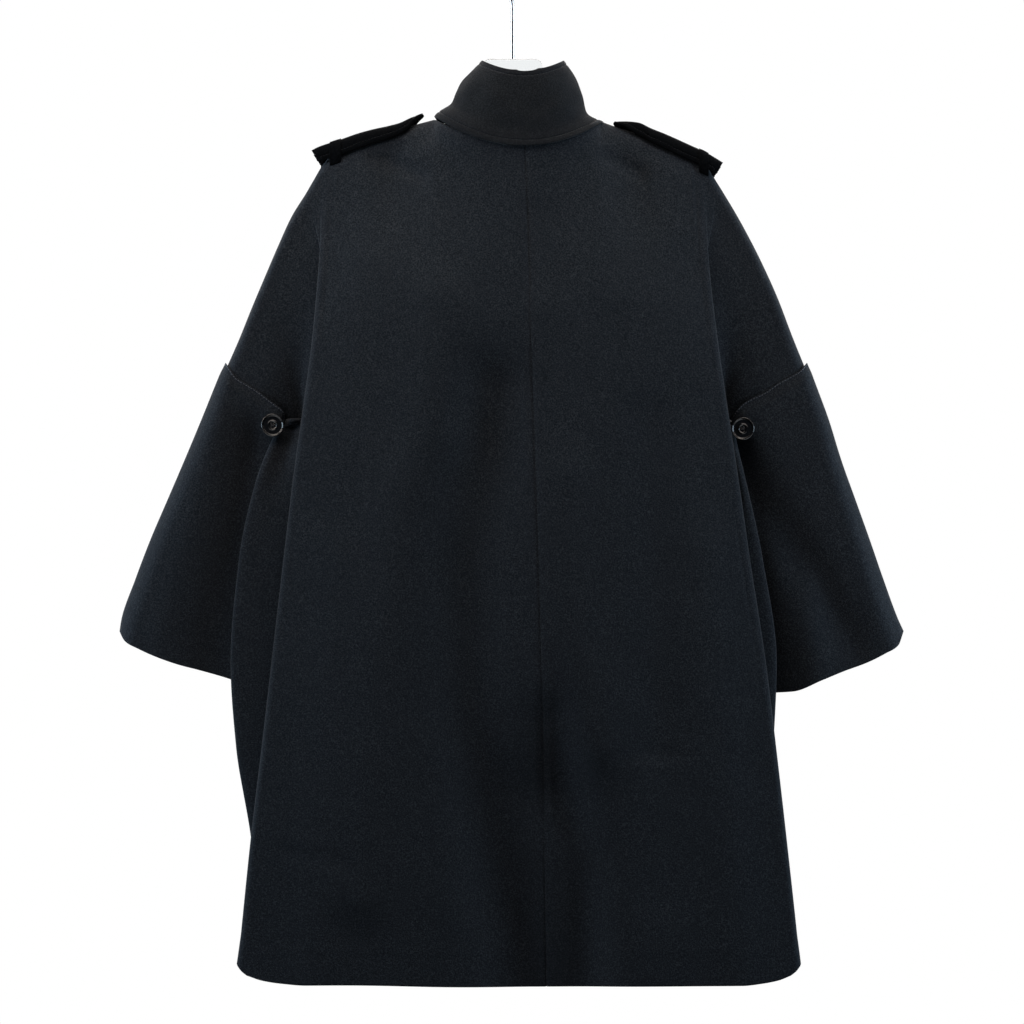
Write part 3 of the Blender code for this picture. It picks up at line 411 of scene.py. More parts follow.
def face_deep(side, face, out, down, dressed=True):
    """How far the front or back panel stands from the middle plane."""
    left = SIDES[side] * out
    across = np.clip((left - NECK_CENTRE) / NECK_HALF_WIDTH, -1.0, 1.0)
    top = np.where(np.abs(across) < 1, ring_down(left, face), contour_down(side, np.abs(out)))
    below = np.maximum(down - top, 0.0)
    spread = np.clip((left - NECK_CENTRE) / (NECK_HALF_WIDTH * NECK_SPREAD), -1.0, 1.0)
    settled = ease(below / NECK_SETTLE)
    bow = np.sqrt(1 - across ** 2) * (1 - settled) + (1 - spread ** 2) ** 2 * settled
    start = NECK_DEEP[face] * bow
    roll_deep = RIDGE_DEEP * (1 - bow)
    middle = look_up(BODY_DEEP, 1 if face == "back" else 2, down)
    fold = look_up(BODY_DEEP, 3, down)
    share = np.clip(np.abs(out) / look_up(FOLD_CREST, COLUMN[side], down), 0.0, 1.0)
    full = middle + (fold - middle) * share ** 2.2
    deep = start + roll_deep * roll(below, RIDGE_ROLL)
    deep = deep + (full - start - roll_deep) * ease(below / BODY_SPREAD) ** 0.8
    for down0, left0, width0, deep0, down1, left1, width1, deep1 in CREASES[face]:
        t = (down - down0) / (down1 - down0)
        depth = (deep0 + (deep1 - deep0) * t) * ease(t / 0.2)
        width = width0 + (width1 - width0) * np.clip(t, 0.0, 1.0)
        trough = depth * bump(left - (left0 + (left1 - left0) * t), width)
        deep = deep - np.where((t >= 0) & (t <= 1), trough, 0.0)
    if face == "front" and side == "left":
        deep = deep - UNDERLAP_SINK * ease((100 - out) / 18)
    return deep + dressing(face, left, down, below) if dressed else deep


def hem_down(share):
    """Height of the hem at a share of the way from the inner edge to the side fold."""
    return HEM_DOWN - look_up(HEM_RISE, 1, share)


def panel_edge(side, face, height):
    """The panel's inner edge, at a share of its height: centre back seam or front edge."""
    top_out = SEAM_BACK[0][COLUMN[side]] if face == "back" else -OVERLAP
    top = ring_down(SIDES[side] * top_out, face)
    down = top + (HEM_DOWN - top) * (1 - height)
    return (look_up(SEAM_BACK, COLUMN[side], down) if face == "back" else top_out + 0 * down), down


def panel_point(side, face, share, height):
    """Place on a panel: share 0 at its inner edge and 1 near the side fold, height 0 at the hem."""
    column = COLUMN[side]
    fold_top = contour_down(side, FOLD_CREST[0][column] - FOLD_TURN)
    fold_hem = hem_down(1.0)
    fold_down = fold_hem + (fold_top - fold_hem) * height
    fold_out = look_up(FOLD_CREST, column, fold_down) - FOLD_TURN
    edge_out, edge_down = panel_edge(side, face, height)
    top_edge_out, top_edge_down = panel_edge(side, face, 1.0)
    top_fold_out = FOLD_CREST[0][column] - FOLD_TURN
    out = edge_out + (fold_out - edge_out) * share
    top_out = top_edge_out + (top_fold_out - top_edge_out) * share
    left = SIDES[side] * top_out
    inside_neck = np.abs(left - NECK_CENTRE) < NECK_HALF_WIDTH
    top = np.where(inside_neck, ring_down(left, face), contour_down(side, top_out))
    chord_top = top_edge_down + (fold_top - top_edge_down) * share
    chord_hem = HEM_DOWN + (fold_hem - HEM_DOWN) * share
    down = edge_down + (fold_down - edge_down) * share
    down = down + (top - chord_top) * height + (hem_down(share) - chord_hem) * (1 - height)
    return out, down


def place(out, down, deep):
    """Points from their three coordinates, spread to one shape."""
    return np.stack(np.broadcast_arrays(out, down, deep), -1).astype(float)


def side_keys(side, face, height):
    """Keys of every row round the side fold and out to the panel's outer edge."""
    column = COLUMN[side]
    inset = FOLD_INSET[face]
    crest_top = FOLD_CREST[0][column]
    top = contour_down(side, crest_top)
    hem = hem_down(1.0)
    down = hem + (top - hem) * height
    crest = look_up(FOLD_CREST, column, down) - inset * ease((down - top) / FOLD_SETTLE)
    deep = look_up(BODY_DEEP, 3, down)
    valley = crest - look_up(FOLD_WIDTH, 1, down)
    near_hem = np.maximum(1 - height / 0.05, 0.0)
    folded = ease((down - top - 6) / FOLD_SETTLE)[:, None]
    fade = dressing(face, SIDES[side] * crest, down, np.maximum(down - top, 0.0))
    missing = face_deep(side, face, crest - FOLD_TURN, down, False) - deep
    made = []
    for k, (step, sink, rise, flat_step, share) in enumerate(FOLD_KEYS):
        start = crest if k < CREST_KEYS else valley
        key = place(start + step, down - rise * near_hem, deep - sink + missing * share)
        flat_out = crest + flat_step
        flat_down = contour_down(side, crest_top + flat_step) - top
        flat_down = down + flat_down * (1 - ease((down - top) / 250))
        flat = place(flat_out, flat_down, face_deep(side, face, flat_out, flat_down, False))
        made.append(flat * (1 - folded) + key * folded)
        made[-1][:, 2] += fade * share
    last = made[-1]
    below = body_side_keys(side, face, down, inset, last)
    above = arm_keys(side, down, top, last)
    under_arm = (down > CORNER_DOWN)[:, None]
    made += [np.where(under_arm, low, high) for low, high in zip(below, above)]
    return np.stack(made, 1)


def pleat_hollow(down, share):
    """How far the cloth sinks beside the side fold, behind the bell's inner corner."""
    return PLEAT_HOLLOW * bump(down - CORNER_DOWN, 75) * bump(share - 0.34, 0.3)


def body_side_keys(side, face, down, inset, last):
    """From the fold's valley out over the side crest and in to the side seam, below the armhole."""
    column = COLUMN[side]
    crest = look_up(SIDE_CREST, column, down) - inset * ease((down - CORNER_DOWN) / 60)
    seam = look_up(SIDE_SEAM, column, down)
    deep = look_up(SIDE_DEEP, 1, down)
    settle = ease((down - CORNER_DOWN) / SIDE_SETTLE[face])[:, None]
    turn = np.minimum(SIDE_TURN, 0.3 * (crest - seam))
    corner = place(seam, down, 0.0)
    hollow = PLEAT_HOLLOW * bump(down - CORNER_DOWN, 55)
    made = (
        place(0.5 * (last[:, 0] + crest), down, 0.5 * (last[:, 2] + deep + 2) - hollow),
        place(crest - turn, down, deep + 2.4),
        place(crest, down, deep),
        place(crest - turn, down, deep - 2.8),
        place(0.5 * (crest + seam), down, 0.48 * deep),
        corner,
    )
    keys = []
    for share, key in zip(ARM_SHARES, made):
        plain = last + (corner - last) * share
        plain[:, 2] = last[:, 2] * math.sqrt(max(1 - share ** 2, 0.0))
        plain[:, 2] = np.maximum(plain[:, 2] - pleat_hollow(down, share), 0.0)
        keys.append(plain * (1 - settle) + key * settle)
    return keys


def arm_keys(side, down, top, last):
    """From beside the side fold out to the elbow seam, above the armhole's corner."""
    column = COLUMN[side]
    rise = (CORNER_DOWN - down) / (CORNER_DOWN - top)
    start_out = FOLD_CREST[0][column] + FOLD_KEYS[-1][3]
    start_down = contour_down(side, start_out)
    end_down, end_out = ELBOW_SEAM[0][0], ELBOW_SEAM[0][column]
    corner_down = ELBOW_SEAM[-1][0]
    seam_down = corner_down + (end_down - corner_down) * rise
    seam_out = look_up(ELBOW_SEAM, column, seam_down)
    keys = []
    for share in ARM_SHARES:
        top_out = start_out + (end_out - start_out) * share
        top_down = contour_down(side, top_out)
        chord_down = start_down + (end_down - start_down) * share
        out = last[:, 0] + (seam_out - last[:, 0]) * share
        here = last[:, 1] + (seam_down - last[:, 1]) * share
        here = here + (top_down - chord_down) * rise
        below = np.hypot(out - top_out, here - top_down)
        deep = ARM_DEEP * roll(below, ARM_ROLL)
        deep = deep + (last[:, 2] - deep) * (1 - share) ** 2
        tail = 1 - np.clip(1 - rise / 0.5, 0.0, 1.0) ** 2
        deep = deep * (1 - share ** 2 * (1 - tail))
        deep = deep - pleat_hollow(here, share)
        keys.append(place(out, here, np.maximum(deep, 0.0)))
    return keys


def world(points, side, face):
    """Turn points of out, down and deep in millimetres into world points in metres."""
    return np.stack([points[..., 0] * SIDES[side], points[..., 2] * FACES[face], -points[..., 1]], -1) * MM


# ---- cloth walls -----------------------------------------------------------------------------------------
def normals_of(grid, closed):
    """Unit normals of a grid of points; closed says that each row joins up with itself."""
    if closed:
        across = np.roll(grid, -1, axis=1) - np.roll(grid, 1, axis=1)
    else:
        across = np.gradient(grid, axis=1)
    along = np.gradient(grid, axis=0)
    return unit(np.cross(across, along))


def wall(node, grid, material, thick=WALL, closed=False, keep=None):
    """One closed cloth wall with rounded edges round a grid of mid-surface points, in a solid's place."""
    half = np.zeros((len(grid), 1)) + np.reshape(thick, (-1, 1)) * MM / 2
    if not closed:
        grid = grid.copy()
        grid[:, 0] -= unit(grid[:, 0] - grid[:, 1]) * half * EDGE_ROUND
        grid[:, -1] -= unit(grid[:, -1] - grid[:, -2]) * half * EDGE_ROUND
    grid[0] -= unit(grid[0] - grid[1]) * half[0] * EDGE_ROUND
    grid[-1] -= unit(grid[-1] - grid[-2]) * half[-1] * EDGE_ROUND
    normal = normals_of(grid, closed)
    layers = [grid + normal * half[:, None], grid - normal * half[:, None]]
    if keep is not None:
        layers = [keep(layer) for layer in layers]
    rows, columns = grid.shape[:2]
    last = columns if closed else columns - 1
    flat = [layer.reshape(-1, 3) for layer in layers]
    index = np.arange(rows * columns).reshape(rows, columns)
    if closed:
        index = np.concatenate([index, index[:, :1]], 1)
    a, b, c, d = index[:-1, :last], index[:-1, 1:last + 1], index[1:, 1:last + 1], index[1:, :last]
    offset = rows * columns
    quads = [np.stack([a, b, c, d], -1).reshape(-1, 4),
             np.stack([a, d, c, b], -1).reshape(-1, 4) + offset]
    extra = []
    count = 2 * offset

    def middle_line(line, line_inner):
        """The points between the two layers along an edge, pushed out so that the edge is round."""
        nonlocal count
        middle = 0.5 * (flat[0][line] + flat[1][line])
        inner = 0.5 * (flat[0][line_inner] + flat[1][line_inner])
        extra.append(middle + unit(middle - inner) * half[line // columns] * EDGE_ROUND)
        mid = count + np.arange(len(line))
        count += len(line)
        return mid

    def strip(line, mid, forward):
        """Close the wall along one edge, over its middle line."""
        near, far = line, line + offset
        for one, two in ((near, mid), (mid, far)):
            quad = np.stack([one[:-1], two[:-1], two[1:], one[1:]], -1)
            quads.append(quad if forward else quad[:, ::-1])

    bottom, top = index[0], index[-1]
    bottom_inner, top_inner = index[1], index[-2]
    if closed:
        low = middle_line(bottom[:-1], bottom_inner[:-1])
        high = middle_line(top[:-1], top_inner[:-1])
        strip(bottom, np.append(low, low[0]), True)
        strip(top, np.append(high, high[0]), False)
    else:
        ring = np.concatenate([bottom, index[1:, -1], top[-2::-1], index[-2:0:-1, 0]])
        inner = np.concatenate([
            [index[1, 1]], bottom_inner[1:-1], [index[1, -2]], index[1:-1, -2], [index[-2, -2]],
            top_inner[-2:0:-1], [index[-2, 1]], index[-2:0:-1, 1]])
        mid = middle_line(ring, inner)
        strip(np.append(ring, ring[0]), np.append(mid, mid[0]), True)
    made = thing(f"{node}_cloth", np.concatenate(flat + extra), np.concatenate(quads), material)
    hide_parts(node)
    return made


def thing(name, points, faces, material):
    """A named mesh piece on the coat's one body."""
    mesh = bpy.data.meshes.new(name)
    mesh.from_pydata(np.asarray(points, float).tolist(), [], [list(map(int, face)) for face in faces])
    mesh.validate()
    mesh.shade_smooth()
    mesh.materials.append(material)
    made = add(name, mesh)
    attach(made, "root")
    return made


# ---- pieces of cloth -------------------------------------------------------------------------------------
PANEL_SHARES = spaced((0, 0.04, 0.12, 0.94, 1.0), (8, 8, 64, 8))
PANEL_HEIGHTS = spaced((0, 0.012, 0.06, 0.655, 0.70, 0.90, 0.97, 0.99, 1.0), (6, 10, 84, 30, 30, 16, 10, 12))
SIDE_STEPS = 5


def panel(side, face, cloth):
    """One half of the back or front, with its upper arm."""
    share = PANEL_SHARES[None, :-1]
    height = PANEL_HEIGHTS[:, None]
    out, down = panel_point(side, face, share, height)
    deep = face_deep(side, face, out, down)
    wave = HEM_WAVE * uneven(SIDES[side] * out, 0 * out, 41, 300)
    down = down + wave * (1 - height) ** 8 * ease((1 - share) / 0.1)
    from_edge = out - out[:, :1]
    for rise, away, half in EDGE_LINES[face]:
        deep = deep + rise * bump(from_edge - away, half)
    deep = deep + 0.35 * bump(down - (HEM_DOWN - HEM_STITCH), 3.0) * ease((0.97 - share) / 0.05)
    flat = place(out, down, deep)
    around = spline(side_keys(side, face, PANEL_HEIGHTS), SIDE_STEPS)
    grid = world(np.concatenate([flat, around], 1), side, face)
    turn = FACES[face]
    half_gap = SEAM_GAP / 2 * MM
    edge = grid[:, 0, 0].copy()
    seamed = -grid[:, -1, 2] > CORNER_DOWN * MM

    def keep(layer):
        """Hold a layer on its own side of the seams."""
        layer[..., 1] = np.maximum(layer[..., 1] * turn, half_gap) * turn
        layer[seamed, -1, 1] = half_gap * turn
        if face == "back":
            layer[:, 0, 0] = edge + SIDES[side] * half_gap
        return layer

    return wall(f"{face}_{side}", grid, cloth, keep=keep)


def sleeve_top(side, share):
    """The bell's top edge, from its outer edge in to the armhole's corner."""
    down = BELL_LIP[0][0] + (BELL_LIP[-1][0] - BELL_LIP[0][0]) * share
    return look_up(BELL_LIP, COLUMN[side], down), down


def sleeve_hem(side, share):
    """The bell's open lower edge, from its outer tip in."""
    column = COLUMN[side]
    outer, inner = SLEEVE_OUTER[-1][column], SLEEVE_INNER[-1][column]
    return outer + (inner - outer) * share, look_up(SLEEVE_HEM, column, share)


def sleeve_point(side, share, height):
    """Place in the bell's plane: share 0 at its outer edge, 1 at the inner, height 0 at the hem."""
    column = COLUMN[side]
    edges, tops, hems = [], [], []
    for table in (SLEEVE_OUTER, SLEEVE_INNER):
        down = table[-1][0] + (table[0][0] - table[-1][0]) * height
        edges.append((look_up(table, column, down), down))
        tops.append((table[0][column], table[0][0]))
        hems.append((table[-1][column], table[-1][0]))
    top = sleeve_top(side, share)
    hem = sleeve_hem(side, share)
    made = []
    for k in range(2):
        between, chord_top, chord_hem = (a[k] + (b[k] - a[k]) * share for a, b in (edges, tops, hems))
        made.append(between + (top[k] - chord_top) * height + (hem[k] - chord_hem) * (1 - height))
    return made


def sleeve_width(side, height):
    outer, inner = sleeve_point(side, 0.0, height), sleeve_point(side, 1.0, height)
    return np.hypot(outer[0] - inner[0], outer[1] - inner[1])


def sleeve_deep(share, height, width):
    """Half thickness of the flattened bell; its inner edge is thick at the armhole and thin below."""
    full = ARM_DEEP + WALL + LAP_GAP + 0.3 + (SLEEVE_DEEP - ARM_DEEP) * (1 - height)
    inner_round = 30 + 33 * ease((1 - height) / 0.16)
    return full * roll(share * width, SLEEVE_ROLL) * roll((1 - share) * width, inner_round)


def sleeve_surface(side, out, down):
    """How far the bell's mid surface stands from the middle plane at a place near its top edge."""
    height = np.linspace(0.85, 1.0, 31)[:, None]
    share = np.linspace(0.5, 1.0, 51)[None, :]
    here = sleeve_point(side, share, height)
    nearest = np.argmin(np.hypot(here[0] - out, here[1] - down))
    return sleeve_deep(share, height, sleeve_width(side, height)).flat[nearest]


def sleeve_grid(side):
    """The bell's mid surface, a flattened tube folded at both edges, and its thickness at every height."""
    share = (0.5 - 0.5 * np.cos(np.linspace(0, math.pi, 57)))[None, :]
    height = spaced((0, 0.02, 0.15, 0.86, 0.97, 1.0), (5, 14, 52, 20, 14))[:, None]
    out, down = sleeve_point(side, share, height)
    pressed = ease((height - 0.955) / 0.04)
    thick = WALL - (WALL - LIP_WALL) * pressed
    deep = sleeve_deep(share, height, sleeve_width(side, height)) - 0.5 * (WALL - thick) - LIP_PRESS * pressed
    fade = np.sin(math.pi * share) ** 0.5 * ease((1.02 - height) / 0.2)
    walls = []
    for face, seed in (("back", 21), ("front", 22)):
        folds = 0.45 * uneven(out, down, seed, 130)
        for path, half, rise in SLEEVE_RELIEF[f"{side}_{face}"]:
            folds = folds + rise * bump(away_from(path, share + 0 * height, height + 0 * share), half)
        walls.append(place(out, down, (deep + folds * fade) * FACES[face]))
    return world(np.concatenate([walls[0], walls[1][:, -2:0:-1]], 1), side, "back"), thick


def sleeve(side, cloth):
    """The bell, thin at its pressed and stitched top edge."""
    grid, thick = sleeve_grid(side)
    return wall(f"sleeve_{side}", grid, cloth, thick=thick, closed=True)


def sleeve_stitches(side, thread):
    """The row of stitches along the bell's lapped top edge."""
    grid, thick = sleeve_grid(side)
    normal = normals_of(grid, True)
    row = len(grid) - 3
    outward_way = 1 if (normal[-1, 20, 1] > 0) == (grid[-1, 20, 1] > 0) else -1
    facing = normal[row] * outward_way
    line = grid[row] + facing * (thick[row] / 2 - STITCH_SINK) * MM
    half = grid.shape[1] // 2
    lines = [(line[cut], facing[cut]) for cut in (slice(2, half - 1), slice(half + 2, -2))]
    return stitches(f"sleeve_{side}_stitches", lines, thread, pitch=3.2, length=2.2, radius=0.34)


def collar_place(turn, height):
    """Place on the collar's mid surface, at a turn round the neck and a share of its height."""
    half_width = look_up(COLLAR_SIDE, 1, height)
    middle = look_up(COLLAR_SIDE, 2, height)
    side_down = look_up(COLLAR_SIDE, 3, height)
    behind = np.sin(turn) > 0
    deep = np.where(behind, look_up(COLLAR_BACK, 1, height), look_up(COLLAR_FRONT, 1, height))
    end_down = np.where(behind, look_up(COLLAR_BACK, 2, height), look_up(COLLAR_FRONT, 2, height))
    down = side_down + (end_down - side_down) * np.sin(turn) ** 2
    down = down - np.where(np.cos(turn) < 0, 4.5, 1.5) * np.cos(turn) * (1 - height) ** 2
    return place(middle + half_width * np.cos(turn), down, deep * np.sin(turn))


def collar_normals(grid):
    """Normals of the collar, turned outward: the middle of its grid is at the centre back."""
    normal = normals_of(grid, False)
    return normal * np.sign(normal[50, 120, 1])


def collar_grid():
    """The collar's mid surface, its two stitched margins and its unevenness with it."""
    turn = np.radians(np.linspace(-90 + COLLAR_GAP, 270 - COLLAR_GAP, 241))[None, :]
    height = spaced((0, 0.16, 0.84, 1.0), (26, 44, 26))[:, None]
    grid = world(collar_place(turn, height), "left", "back")
    from_base = run_along(grid)
    from_top = from_base[-1:] - from_base
    lift = -0.75 * bump(from_base - COLLAR_LOWER_STITCH, 1.0) - 0.6 * bump(from_top - COLLAR_UPPER_STITCH, 1.0)
    lift += 0.4 * bump(from_base - 3.4, 2.6) + 0.3 * bump(from_top - 2.8, 2.2)
    angle = np.degrees(turn)
    lift += 0.7 * uneven(angle * 1.4, from_base, 31, 70) * np.sin(math.pi * height) ** 1.5
    for rise, above, tall, middle, wide in COLLAR_DENTS:
        lift += rise * bump(from_base - above, tall) * bump(angle - middle, wide)
    return grid + collar_normals(grid) * (lift * MM)[..., None], from_base, from_top


def collar(cloth):
    return wall("collar", collar_grid()[0], cloth)


def strap_row(side, out, lift, narrow, count, tail=0.0):
    """One section across a shoulder strap, from its front edge over the ridge to its back edge."""
    reach = min(out, FOLD_CREST[0][COLUMN[side]] - 6)
    top = look_up(STRAP_TOP, COLUMN[side], out)
    stand_off = WALL / 2 + STRAP_WALL / 2 + LAP_GAP + 0.3 + lift
    row = []
    for k in range(count):
        turn = math.radians(-90 + 180 * k / (count - 1)) * narrow
        face = "back" if turn > 0 else "front"
        drop = look_up(STRAP_DROP, 1, out) + (STRAP_FRONT_DROP if face == "front" else 0)
        wide = face_deep(side, face, reach, look_up(STRAP_TOP, COLUMN[side], reach) + drop, False)
        down = top - lift + (drop + lift) * (1 - math.cos(turn))
        row.append((out, down, (wide + stand_off) * math.sin(turn)))
    if tail:
        ends = []
        for face, (_, low, edge_deep) in (("front", row[0]), ("back", row[-1])):
            for share in (1.0, 0.66, 0.33):
                deep = face_deep(side, face, reach, low + tail, False) + WALL / 2 + KEEPER_WALL / 2 + LAP_GAP
                deep = abs(edge_deep) + (deep - abs(edge_deep)) * share
                ends.append((out, low + tail * share, deep * FACES[face]))
        row = ends[:3] + row + ends[:2:-1]
    return row


def strap_grid(side):
    """A shoulder strap's mid surface and how far each point is from its long edges."""
    start, finish = STRAP_SPAN[side]
    shoulder = start + STRAP_POINT[side]
    rows = []
    for out in spaced((start, shoulder, finish - STRAP_CORNER, finish), (18, 36, 9)):
        narrow = min(STRAP_TIP + (1 - STRAP_TIP) * (out - start) / (shoulder - start), 1.0)
        past = max(out - finish + STRAP_CORNER, 0.0) / STRAP_CORNER
        narrow -= 0.22 * (1 - math.sqrt(1 - 0.98 * past ** 2))
        row = strap_row(side, out, 0.0, narrow, 61)
        slant = ease((out - finish + 12) / 12)
        top = min(down for _, down, _ in row)
        rows.append([(out - slant * STRAP_END_SLANT * min(down - top, STRAP_END_DROP), down, deep)
                     for out, down, deep in row])
    grid = world(np.array(rows), side, "back")
    from_front = run_along(grid, 1)
    return grid, np.minimum(from_front, from_front[:, -1:] - from_front)


def outward(grid):
    """Normals of a piece over the shoulder, turned away from the middle of the shoulder."""
    normal = normals_of(grid, False)
    away = grid - np.array([0.0, 0.0, -SHOULDER_MIDDLE * MM])
    away[..., 0] = 0.0
    return normal * np.sign((normal * away).sum(-1, keepdims=True))


def strap(side, cloth):
    """A shoulder strap: two layers of cloth, topstitched along its edges, its point at the neck."""
    grid, from_edge = strap_grid(side)
    lift = -0.7 * bump(from_edge - STRAP_MARGIN, 0.9) + 0.45 * bump(from_edge - 2.8, 2.0)
    grid = grid + outward(grid) * (lift * MM)[..., None]
    return wall(f"shoulder_strap_{side}", grid, cloth, thick=STRAP_WALL - STRAP_PRESS)


def keeper(side, cloth):
    """The narrow loop that holds a strap down near its outer end."""
    start, finish = KEEPER_SPAN[side]
    lift = STRAP_WALL / 2 + KEEPER_WALL / 2
    rows = []
    for out in np.linspace(start, finish, 13):
        rows.append(strap_row(side, out, lift, 1.0, 41, KEEPER_TAIL))
    grid = world(np.array(rows), side, "back")
    across = np.linspace(-1, 1, len(grid))[:, None]
    edge = 0.15 * (1 - across ** 2) - 0.2 * bump(np.abs(across) - 0.62, 0.1)
    return wall(f"keeper_{side}", grid + outward(grid) * (edge * MM)[..., None], cloth, thick=KEEPER_WALL)


def skin(faces, base, rings, sides):
    """Add the faces of a capped tube of rings of points, the first of which has the number base."""
    for first in range(base, base + (rings - 1) * sides, sides):
        for k in range(sides):
            a, b = first + k, first + (k + 1) % sides
            faces.append((a, b, b + sides, a + sides))
    faces.append(tuple(range(base + sides - 1, base - 1, -1)))
    faces.append(tuple(range(base + (rings - 1) * sides, base + rings * sides)))


def tube(points, faces, path, radius, sides):
    """Add a capped tube along a path of points in metres."""
    path = np.array(path)
    along = unit(np.gradient(path, axis=0))
    guide = np.array([0.31, 0.57, 0.76])
    across = unit(np.cross(along, guide))
    other = np.cross(along, across)
    base = len(points)
    for spot, a, b in zip(path, across, other):
        points += [spot + (a * cos + b * sin) * radius * MM for cos, sin in round_trip(0, sides)]
    skin(faces, base, len(path), sides)


# ---- sewing thread ---------------------------------------------------------------------------------------
def stitches(name, lines, thread, pitch=3.4, length=2.5, radius=0.26):
    """Rows of short raised stitches along lines of points and normals."""
    sides, parts = 6, ((-0.5, 0.25), (-0.36, 0.85), (0.0, 1.0), (0.36, 0.85), (0.5, 0.25))
    points, faces = [], []
    for line, normal in lines:
        run = run_along(line)
        for middle in np.arange(pitch, run[-1] - pitch / 2, pitch):
            spot, ahead, up = (np.array([np.interp(at, run, values[:, k]) for k in range(3)])
                               for at, values in ((middle, line), (middle + 1, line), (middle, normal)))
            up = unit(up)
            along = unit(ahead - spot)
            across = np.cross(up, along)
            base = len(points)
            for place_along, swell in parts:
                for cos, sin in round_trip(0, sides):
                    ring = across * cos * 1.2 + up * sin
                    points.append(spot + (along * place_along * length + ring * radius * swell
                                          - up * 0.24 * abs(place_along)) * MM)
            skin(faces, base, len(parts), sides)
    return thing(name, points, faces, thread)


def line_at(grid, normal, distance, wanted, thick):
    """The line on a wall's outer face where a distance, given at every point, first reaches a value."""
    line, facing = [], []
    for i in range(grid.shape[1]):
        k = int(np.argmax(distance[:, i] >= wanted))
        line.append(grid[k, i] + normal[k, i] * (thick / 2 - STITCH_SINK) * MM)
        facing.append(normal[k, i])
    return np.array(line), np.array(facing)


def collar_stitches(thread):
    grid, from_base, from_top = collar_grid()
    normal = collar_normals(grid)
    lower = line_at(grid, normal, from_base, COLLAR_LOWER_STITCH, WALL)
    upper = line_at(grid[::-1], normal[::-1], from_top[::-1], COLLAR_UPPER_STITCH, WALL)
    return stitches("collar_stitches", (lower, upper), thread)


def strap_stitches(side, thread):
    grid, from_edge = strap_grid(side)
    normal = outward(grid)
    half = grid.shape[1] // 2
    lines = []
    for cut in (slice(0, half), slice(None, half, -1)):
        lines.append(line_at(grid[6:, cut].swapaxes(0, 1), normal[6:, cut].swapaxes(0, 1),
                             from_edge[6:, cut].T, STRAP_MARGIN, STRAP_WALL - 0.5))
    return stitches(f"shoulder_strap_{side}_stitches", lines, thread)


# ---- buttons ---------------------------------------------------------------------------------------------
def frame_of(facing):
    """Two directions across a facing direction."""
    facing = unit(np.array(facing, float))
    side_way = unit(np.cross(facing, (0.0, 0.0, 1.0) if abs(facing[2]) < 0.9 else (1.0, 0.0, 0.0)))
    return facing, side_way, np.cross(facing, side_way)


BUTTON_PROFILE = [        # shares of the radius and of the thickness, from the back over the rim to the middle
    (0.02, 0.0), (0.80, 0.0), (0.92, 0.10), (0.98, 0.28), (1.0, 0.50), (1.0, 0.66), (0.992, 0.82),
    (0.97, 0.94), (0.94, 0.995), (0.91, 0.98), (0.885, 0.90), (0.86, 0.76), (0.835, 0.63), (0.80, 0.555),
    (0.74, 0.53), (0.64, 0.525), (0.54, 0.53), (0.46, 0.56), (0.42, 0.64), (0.395, 0.69), (0.37, 0.68),
    (0.345, 0.61), (0.325, 0.52),
] + [(share, 0.47) for share in np.linspace(0.305, 0.03, 18)]


def button(name, spot, facing, radius, horn, thread, shank):
    """A four-hole button with a raised rim and a dished face, sewn on with thread."""
    facing, side_way, up_way = frame_of(facing)
    hole_out, hole_radius = 0.19 * radius, 0.085 * radius
    holes = [(hole_out * cos, hole_out * sin) for cos, sin in round_trip(math.radians(45), 4)]
    count = 72
    points, faces = [], []
    for share, high in BUTTON_PROFILE:
        for cos, sin in round_trip(0, count):
            x, y = radius * share * cos, radius * share * sin
            here = BUTTON_THICK * high
            if share < 0.5 and high > 0:
                near = min(math.hypot(x - hx, y - hy) for hx, hy in holes)
                here -= HOLE_DEPTH * float(ease((hole_radius * 1.25 - near) / (hole_radius * 0.5)))
            points.append(spot + (facing * here + side_way * x + up_way * y) * MM)
    skin(faces, 0, len(BUTTON_PROFILE), count)
    made = thing(f"{name}_horn", points, faces, horn)
    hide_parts(name)
    sew(f"{name}_thread", spot, (facing, side_way, up_way), hole_out, shank, thread)


def sew(name, spot, axes, hole_out, shank, thread):
    """Two crossed strands on the button's face, and the shank behind it."""
    facing, side_way, up_way = axes
    points, faces = [], []
    for (cos, sin), high in zip(round_trip(math.radians(45), 4), (0.0, 0.22)):
        spread = side_way * cos + up_way * sin
        beside = np.cross(facing, spread)
        for shift in (-0.22, 0.22):
            path = []
            for t in np.linspace(-1, 1, 13):
                rise = HOLE_DEPTH + high * (1 - t * t) + 0.62 * (1 - abs(t) ** 6)
                path.append(spot + (spread * t * hole_out + beside * shift + facing * rise) * MM)
            tube(points, faces, path, 0.24, 8)
    for cos, sin in round_trip(0, 6):
        lean = side_way * cos + up_way * sin
        path = [spot + (lean * (0.5 + 0.25 * t * t) - facing * shank * (1 - t)) * MM
                for t in np.linspace(0, 1.05, 5)]
        tube(points, faces, path, 0.32, 6)
    thing(name, points, faces, thread)


def front_buttons(horn, thread):
    """Two columns down the right front, which lies on top."""
    for column, out in (("outer", -FRONT_BUTTON_OUT), ("inner", FRONT_BUTTON_OUT)):
        for row, down in enumerate(FRONT_BUTTON_ROWS, start=1):
            deep = face_deep("right", "front", out, down, False)
            step = 2.0
            lean = (face_deep("right", "front", out + step, down, False) - deep) / step
            tilt = (face_deep("right", "front", out, down + step, False) - deep) / step
            facing = unit(np.array([lean, -1.0, tilt]))
            deep = max(face_deep("right", "front", out, down), deep)
            spot = np.array([-out, -deep, -down]) + facing * (WALL / 2 + FRONT_BUTTON_SHANK)
            button(f"front_button_{column}_{row}", spot * MM, facing, FRONT_BUTTON_RADIUS, horn, thread, 2.4)


